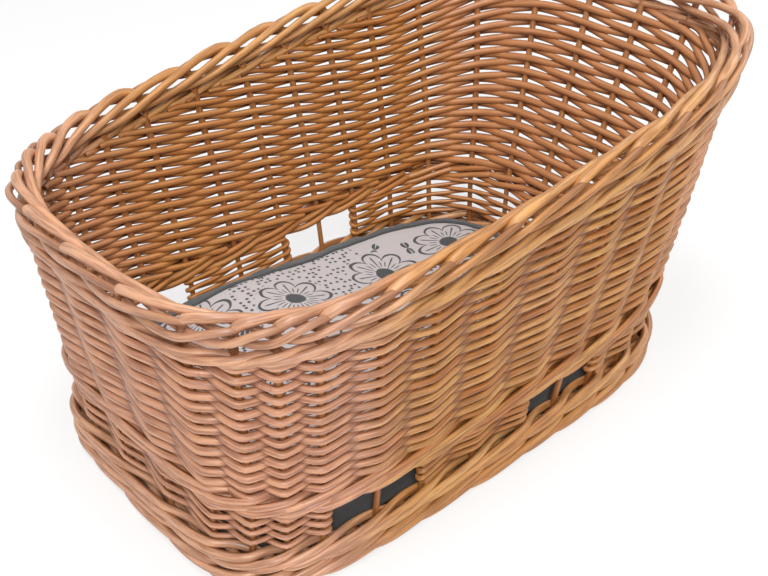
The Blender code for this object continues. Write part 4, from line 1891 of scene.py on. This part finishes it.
@dataclass(frozen=True)
class CushionSlack:
    """The slack of the cushion's cover: soft dents on the top and short puckers at the seam."""

    seed: int = 53
    under_seam: float = 0.002
    depth_of_seam: float = 0.006
    dents: int = 9
    dent_spans: Pair = (0.07, 0.19)
    dent_height: float = 0.0005
    half_length: float = 0.22
    half_width: float = 0.14
    edge_length: float = 0.215
    edge_width: float = 0.138
    edge_from: float = 0.86
    edge_reach: float = 0.1
    puckers: float = 46.0
    bunches: float = 5.0
    bunching: float = 2.0
    pucker_height: float = 0.0006

    def apply(self, points: Array, seam: float) -> Array:
        """Move the points of a padded body.

        Args:
            points: Points of the body.
            seam: Height of its edge seam.

        Returns:
            The moved points.
        """
        rng = np.random.default_rng(self.seed)
        x, y, z = points.T
        top = np.clip((z - seam + self.under_seam) / self.depth_of_seam, 0.0, 1.0)
        dents = np.zeros_like(x)
        for _ in range(self.dents):
            angle, span = rng.uniform(0.0, math.pi), rng.uniform(*self.dent_spans)
            across = x * math.cos(angle) + y * math.sin(angle)
            dents += np.sin(FULL_TURN * (across / span + rng.random()))
        turn = np.arctan2(y / self.half_width, x / self.half_length)
        edge = np.maximum(np.abs(x) / self.edge_length, np.abs(y) / self.edge_width)
        near_edge = np.clip((edge - self.edge_from) / self.edge_reach, 0.0, 1.0)
        bunched = turn * self.puckers + self.bunching * np.sin(turn * self.bunches)
        moved = points.copy()
        moved[:, 2] += self.dent_height * dents * top
        moved[:, 2] += self.pucker_height * (np.sin(bunched) * near_edge) * top
        return moved


@dataclass
class Cushion:
    """The lift-out cushion: a padded dark body with a printed top panel and a piped seam.

    foot_rings and seam_rings give the body's rings as pairs: height above the foot or the seam,
    and distance inside the widest outline.
    """

    shape: BasketShape
    slack: CushionSlack = CushionSlack()
    edge_height: float = 0.0265
    crown: float = 0.0050
    crown_from: float = 0.0025
    crown_curve: int = 4
    crown_inset: float = 0.006
    front_rise: float = 0.0200
    rise_from: float = 0.16
    rise_length: float = 0.22
    side_gap: float = 0.0010
    draw_in: float = 0.0015
    foot_inset: float = 0.006
    foot_rings: tuple[Pair, ...] = ((0.0005, 0.006), (0.0035, 0.003), (0.0090, 0.0015))
    middle_inset: float = 0.0008
    seam_rings: tuple[Pair, ...] = ((-0.0065, 0.0008), (-0.0015, 0.0012), (0.0020, 0.0030))
    base_shares: tuple[float, ...] = (0.25, 0.5, 0.75, 0.92)
    crown_shares: tuple[float, ...] = (0.955, 0.9, 0.82, 0.7, 0.55, 0.38, 0.2, 0.08)
    steps: int = 160
    voxel: float = 0.005
    pressure: float = 4.0
    quality: int = 6
    tension: float = 25.0
    shear: float = 15.0
    bending: float = 1.5
    frames: int = 20
    cap: float = 0.004
    sideways: float = 0.35
    panel_inset: float = 0.0220
    panel_lift: float = 0.0007
    panel_sunk: float = 0.0006
    panel_steps: int = 240
    panel_shares: tuple[float, ...] = (
        1.0, 0.985, 0.965, 0.94, 0.9, 0.85, 0.79, 0.72, 0.64, 0.55, 0.46, 0.37, 0.28, 0.19, 0.1,
    )
    seam_waver: float = 0.0009
    seam_waves: float = 9.0
    fine_waver: float = 0.0005
    fine_waves: float = 23.0
    cord_radius: float = 0.0019
    cord_overlap: float = 0.001
    cord_lift: float = 0.35
    cord_steps: int = 300
    cord_tone: float = 0.5
    above: float = 0.2

    def floor_level(self) -> float:
        """Height of the floor's upper face."""
        return self.shape.base_thickness + self.shape.seat_gap

    def seam_level(self) -> float:
        """Height of the cushion's edge seam."""
        return self.floor_level() + self.edge_height

    def outline(self, height: float, inward: float, steps: int, waver: float = 0.0) -> Array:
        """A level line round the cushion, drawn in between its corners.

        Args:
            height: Height of the line.
            inward: Distance inside the cushion's widest outline.
            steps: Number of points.
            waver: How strongly the line wavers, from 0 to 1.

        Returns:
            Its points, first not repeated.
        """
        turn = np.array(self.shape.even_turns(0.0, FULL_TURN, steps)[:-1])
        drawn = self.draw_in * np.cos(2.0 * turn) ** 2
        wide = self.seam_waver * np.sin(turn * self.seam_waves + 1.0)
        fine = self.fine_waver * np.sin(turn * self.fine_waves)
        out = -(self.shape.half_wall + self.side_gap + drawn + inward + waver * (wide + fine))
        return self.shape.point(turn, np.full_like(turn, height), out)

    def ring(self, height: float, inward: float, share: float = 1.0) -> Array:
        """A ring round the body, lifted toward the front end.

        Args:
            height: Height of the ring.
            inward: Distance inside the cushion's widest outline.
            share: How much of its full size it has.

        Returns:
            Its points.
        """
        points = self.outline(height, inward, self.steps)
        rise = np.clip((height - self.floor_level()) / self.edge_height, 0.0, 1.0)
        forward = np.clip((self.rise_from - points[:, 0]) / self.rise_length, 0.0, 1.0)
        points[:, 2] = height + self.front_rise * rise * forward
        points[:, :2] *= share
        return points

    def body_rings(self) -> list[Array]:
        """Rings of the body.

        Returns:
            The rings from the underside's middle to the crown.
        """
        foot, seam = self.floor_level(), self.seam_level()
        rings = [self.ring(foot, self.foot_inset, share) for share in self.base_shares]
        rings += [self.ring(foot + rise, inward) for rise, inward in self.foot_rings]
        rings.append(self.ring((foot + seam) / 2.0, self.middle_inset))
        rings += [self.ring(seam + rise, inward) for rise, inward in self.seam_rings]
        for share in self.crown_shares:
            swell = (self.crown - self.crown_from) * (1.0 - share**self.crown_curve)
            rings.append(self.ring(seam + self.crown_from + swell, self.crown_inset, share))
        return rings

    def shell(self) -> Piece:
        """The body before it is padded out.

        Returns:
            The plain closed body.
        """
        builder = bmesh.new()
        loops = [[builder.verts.new(point) for point in ring] for ring in self.body_rings()]
        for before, after in zip(loops, loops[1:]):
            bridge(builder, before, after)
        builder.faces.new(list(reversed(loops[0])))
        builder.faces.new(loops[-1])
        return built_mesh(builder, "cushion_shell")

    def simulate(self, even: Piece) -> Piece:
        """Swell the body with a short cloth simulation.

        Args:
            even: The body, with faces of an even size.

        Returns:
            The swollen body.
        """
        cloth = even.modifiers.new("pad", "CLOTH")
        settings = cloth.settings
        settings.quality = self.quality
        settings.use_pressure = True
        settings.uniform_pressure_force = self.pressure
        settings.effector_weights.gravity = 0.0
        settings.tension_stiffness = self.tension
        settings.shear_stiffness = self.shear
        settings.bending_stiffness = self.bending
        cloth.point_cache.frame_start = 1
        cloth.point_cache.frame_end = self.frames
        scene = bpy.context.scene
        for frame in range(1, self.frames + 1):
            scene.frame_set(frame)
        padded = settle(even, "cushion_padded")
        scene.frame_set(1)
        return padded

    def pad_out(self, item: Piece) -> Piece:
        """Pad the body out, keep its points within a cap and give its cover some slack.

        Args:
            item: The plain body.

        Returns:
            The padded body as a plain mesh.
        """
        remesh = item.modifiers.new("even", "REMESH")
        remesh.mode = "VOXEL"
        remesh.voxel_size = self.voxel
        padded = settle(item, "cushion_even")
        rest = vertex_places(padded.data)
        padded = self.simulate(padded)
        step = vertex_places(padded.data) - rest
        size = np.linalg.norm(step, axis=1, keepdims=True)
        tiny = 1e-9
        step = step * np.minimum(1.0, self.cap / np.maximum(size, tiny))
        step[:, :2] *= self.sideways
        moved = rest + step
        moved[:, 2] = np.maximum(moved[:, 2], self.floor_level())
        moved = self.slack.apply(moved, self.seam_level())
        padded.data.vertices.foreach_set("co", moved.ravel())
        padded.data.update()
        finer = padded.modifiers.new("finer", "SUBSURF")
        finer.levels = 1
        finer.render_levels = 1
        return settle(padded, "cushion_body")

    def height_at(self, surface: BVHTree, x: float, y: float) -> float:
        """Height of the padded body's top at a place."""
        start = Vector((x, y, self.above))
        return surface.ray_cast(start, Vector((0.0, 0.0, -1.0)))[0].z

    def seam_line(self, surface: BVHTree, steps: int, inset: float, lift: float) -> Array:
        """A line round the top, laid on the padded body.

        Args:
            surface: The padded body.
            steps: Number of points.
            inset: Distance inside the widest outline.
            lift: Distance above the cloth.

        Returns:
            The points, first not repeated.
        """
        line = self.outline(self.seam_level(), inset, steps, 1.0)
        for point in line:
            point[2] = self.height_at(surface, point[0], point[1]) + lift
        return line

    def panel_side(
        self, builder: bmesh.types.BMesh, surface: BVHTree, edge: Array, lift: float, rim: float
    ) -> list:
        """One side of the printed panel.

        Args:
            builder: Mesh that is being built.
            surface: The padded body.
            edge: The panel's edge.
            lift: Distance above the cloth.
            rim: The same distance at the edge.

        Returns:
            Vertices of the outermost loop.
        """
        loops = []
        for share in self.panel_shares:
            gap = rim if share == self.panel_shares[0] else lift
            flat = [(x * share, y * share) for x, y, _ in edge]
            loops.append(
                [builder.verts.new((x, y, self.height_at(surface, x, y) + gap)) for x, y in flat]
            )
        for before, after in zip(loops, loops[1:]):
            bridge(builder, before, after)
        builder.faces.new(loops[-1])
        return loops[0]

    def panel(self, surface: BVHTree, cloth: Material) -> Piece:
        """The printed top panel, a thin closed sheet laid on the padded body.

        Args:
            surface: The padded body.
            cloth: Its cloth.

        Returns:
            The panel.
        """
        edge = self.seam_line(surface, self.panel_steps, self.panel_inset, 0.0)
        builder = bmesh.new()
        under = self.panel_side(builder, surface, edge, -self.panel_sunk, -self.panel_sunk)
        over = self.panel_side(builder, surface, edge, self.panel_lift, 0.0)
        bridge(builder, under, over)
        item = built_mesh(builder, "cushion_panel")
        item.data.shade_smooth()
        item.data.materials.append(cloth)
        return item

    def piping(self, surface: BVHTree, kit: RodKit, cloth: Material) -> Piece:
        """The cord round the panel's edge.

        Args:
            surface: The padded body.
            kit: Maker of round bodies.
            cloth: Its cloth.

        Returns:
            The cord.
        """
        inset = self.panel_inset - self.cord_overlap
        line = self.seam_line(surface, self.cord_steps, inset, self.cord_radius * self.cord_lift)
        closed = np.concatenate([line, line[:2]])
        radius = np.full(len(closed), self.cord_radius)
        cord = Rod(closed, radius, np.zeros(len(closed)), self.cord_tone)
        return kit.make("cushion_piping", [cord], cloth)

    def dress(self, kit: RodKit, dark: Material, pale: Material) -> None:
        """Make the cushion's pieces and tie them to the frame.

        Args:
            kit: Maker of round bodies, for the piping.
            dark: Cloth of the body and the piping.
            pale: Cloth of the panel.
        """
        body = self.pad_out(self.shell())
        body.data.materials.clear()
        body.data.materials.append(dark)
        body.data.shade_smooth()
        surface = BVHTree.FromPolygons(
            [vertex.co for vertex in body.data.vertices],
            [tuple(face.vertices) for face in body.data.polygons],
        )
        panel = self.panel(surface, pale)
        piping = self.piping(surface, kit, dark)
        hand_over(body, Body.CUSHION, Slot.DARK_CLOTH, ["cushion_side_and_base", "cushion_foam"])
        hand_over(panel, Body.CUSHION, Slot.PRINT, ["cushion_top_panel"])
        hand_over(piping, Body.CUSHION, Slot.DARK_CLOTH, ["cushion_edge_binding"])


@dataclass(frozen=True)
class Lamp:
    """A soft round lamp that looks at the basket."""

    name: str
    place: Triple
    width: float
    watts: float
    colour: Triple
    target: Triple = (0.0, 0.0, 0.12)

    def hang(self) -> None:
        """Add the lamp to the scene."""
        data = bpy.data.lights.new(self.name, "AREA")
        data.shape = "DISK"
        data.size = self.width
        data.energy = self.watts
        data.color = self.colour
        item = put_in_scene(self.name, data)
        item.location = self.place
        aim = Vector(self.target) - Vector(self.place)
        item.rotation_mode = "QUATERNION"
        item.rotation_quaternion = aim.to_track_quat("-Z", "Y")


@dataclass(frozen=True)
class Studio:
    """Floor, light and camera."""

    camera_place: Triple = (-0.4994, -0.6280, 0.6456)
    camera_turn: float = -0.6905
    camera_tilt: float = 0.9725
    camera_roll: float = -0.0330
    lens: float = 54.57
    sensor: float = 36.0
    nearest: float = 0.01
    floor_reach: float = 6.0
    floor_white: float = 0.9
    floor_roughness: float = 0.9
    floor_glow: float = 0.65
    footprint: Pair = (0.236, 0.158)
    footprint_power: float = 4.0
    footprint_band: Pair = (0.85, 1.0)
    room_light: float = 0.32
    seen_light: float = 0.68
    lamps: tuple[Lamp, ...] = (
        Lamp("key", (-1.6, -2.2, 2.6), 1.3, 92.0, (1.0, 0.99, 0.97)),
        Lamp("fill", (2.4, -0.6, 2.2), 2.0, 26.0, (0.98, 0.99, 1.0)),
        Lamp("top", (-0.3, -0.2, 2.8), 1.2, 40.0, (1.0, 1.0, 1.0)),
    )

    def camera(self) -> None:
        """Create the camera at the photograph's viewing angle."""
        data = bpy.data.cameras.new("camera")
        data.sensor_width = self.sensor
        data.lens = self.lens
        data.clip_start = self.nearest
        item = put_in_scene("camera", data)
        turn = Matrix.Rotation(self.camera_turn, 4, "Z")
        tilt = Matrix.Rotation(self.camera_tilt, 4, "X")
        roll = Matrix.Rotation(self.camera_roll, 4, "Z")
        item.matrix_world = Matrix.Translation(self.camera_place) @ turn @ tilt @ roll
        bpy.context.scene.camera = item

    def floor(self) -> None:
        """Add the plain pale floor, which glows white for the camera except under the basket."""
        mesh = bpy.data.meshes.new("floor")
        far = self.floor_reach
        corners = [(-far, -far, 0.0), (far, -far, 0.0), (far, far, 0.0), (-far, far, 0.0)]
        mesh.from_pydata(corners, [], [(0, 1, 2, 3)])
        item = put_in_scene("floor", mesh)
        material, kit, shader = new_material("floor_white")
        white = (*[self.floor_white] * 3, 1.0)
        kit.wire(shader, {"Base Color": white, "Roughness": self.floor_roughness})
        glow = kit.add("ShaderNodeEmission", {"Strength": 1.0})
        away = []
        for part, half in zip(kit.parts(kit.object_place()), self.footprint):
            share = kit.size_of("DIVIDE", part, half)
            away.append(kit.math("POWER", share, self.footprint_power))
        clear = kit.band(kit.plus(*away), self.footprint_band)
        rays = kit.add("ShaderNodeLightPath")
        share = kit.times(kit.times(rays.outputs["Is Camera Ray"], self.floor_glow), clear)
        inputs = {0: share, 1: shader.outputs[0], 2: glow.outputs[0]}
        mix = kit.add("ShaderNodeMixShader", inputs)
        kit.wire(material.node_tree.nodes["Material Output"], {"Surface": mix.outputs[0]})
        mesh.materials.append(material)

    def world(self) -> None:
        """Light the room evenly, with a white background for the camera."""
        world = bpy.data.worlds.new("studio")
        world.use_nodes = True
        kit = NodeTree(world.node_tree)
        rays = kit.add("ShaderNodeLightPath").outputs
        seen = kit.most(rays["Is Camera Ray"], rays["Is Glossy Ray"])
        seen = kit.most(seen, rays["Is Transmission Ray"])
        strength = kit.plus(kit.times(seen, self.seen_light), self.room_light)
        white = (1.0, 1.0, 1.0, 1.0)
        kit.wire(world.node_tree.nodes["Background"], {"Color": white, "Strength": strength})
        bpy.context.scene.world = world

    def build(self) -> None:
        """Set up the whole studio."""
        self.camera()
        self.floor()
        self.world()
        for lamp in self.lamps:
            lamp.hang()
        bpy.context.scene.view_settings.view_transform = "Standard"


def wales(wall: WallMap) -> list[Wale]:
    """The three wales, from the foot up.

    Args:
        wall: Map of the wall.

    Returns:
        The foot wale, the middle wale and the top wale.
    """
    shape = wall.shape
    return [
        Wale(
            wall, "foot_wale_rods", "foot_wale", shape.foot_wale_line,
            strands=4, rounds=2, radius=0.0033, swing=0.0072, lift=0.0056, middle=0.0012,
            bias=0.5, start=3, seed=61, round_height=0.0182,
        ),
        Wale(
            wall, "middle_wale_rods", "middle_wale", shape.middle_wale_line,
            strands=3, rounds=2, radius=0.0029, swing=0.0046, lift=0.0038, middle=0.0012,
            bias=0.35, start=26, seed=62, round_height=0.0064,
        ),
        Wale(
            wall, "top_wale_rods", "top_wale", shape.top_wale_line,
            strands=3, rounds=1, radius=0.0031, swing=0.0036, lift=0.0024, middle=0.0030,
            bias=0.4, start=27, seed=63,
        ),
    ]


def main() -> None:
    """Build every piece round the frame and keep its size."""
    logging.basicConfig(level=logging.INFO, format="%(message)s")
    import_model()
    shape = BasketShape()
    wall = WallMap(shape)
    kit = RodKit()
    bark = BarkPattern().group()
    willows = (WEAVE_WILLOW, STOUT_WILLOW, STAKE_WILLOW)
    weave, stout, stake = [willow.material(bark) for willow in willows]
    threads, daisies = ClothThreads().group(), DaisyPrint().group()
    printed = PRINTED_CLOTH.material(threads, daisies)
    charcoal = CHARCOAL_CLOTH.material(threads, daisies)

    foot_wale, middle_wale, top_wale = wales(wall)
    Floor(shape).dress(kit, weave, stake)
    Stakes(wall).dress(kit, stake)
    foot_wale.dress(kit, stout)
    LowerPanels(wall).dress(kit, weave)
    middle_wale.dress(kit, weave)
    SideWeave(wall).dress(kit, weave)
    top_wale.dress(kit, stout)
    Border(wall).dress(kit, stout)
    Cushion(shape).dress(kit, charcoal, printed)
    Studio().build()


if __name__ == "__main__":
    main()
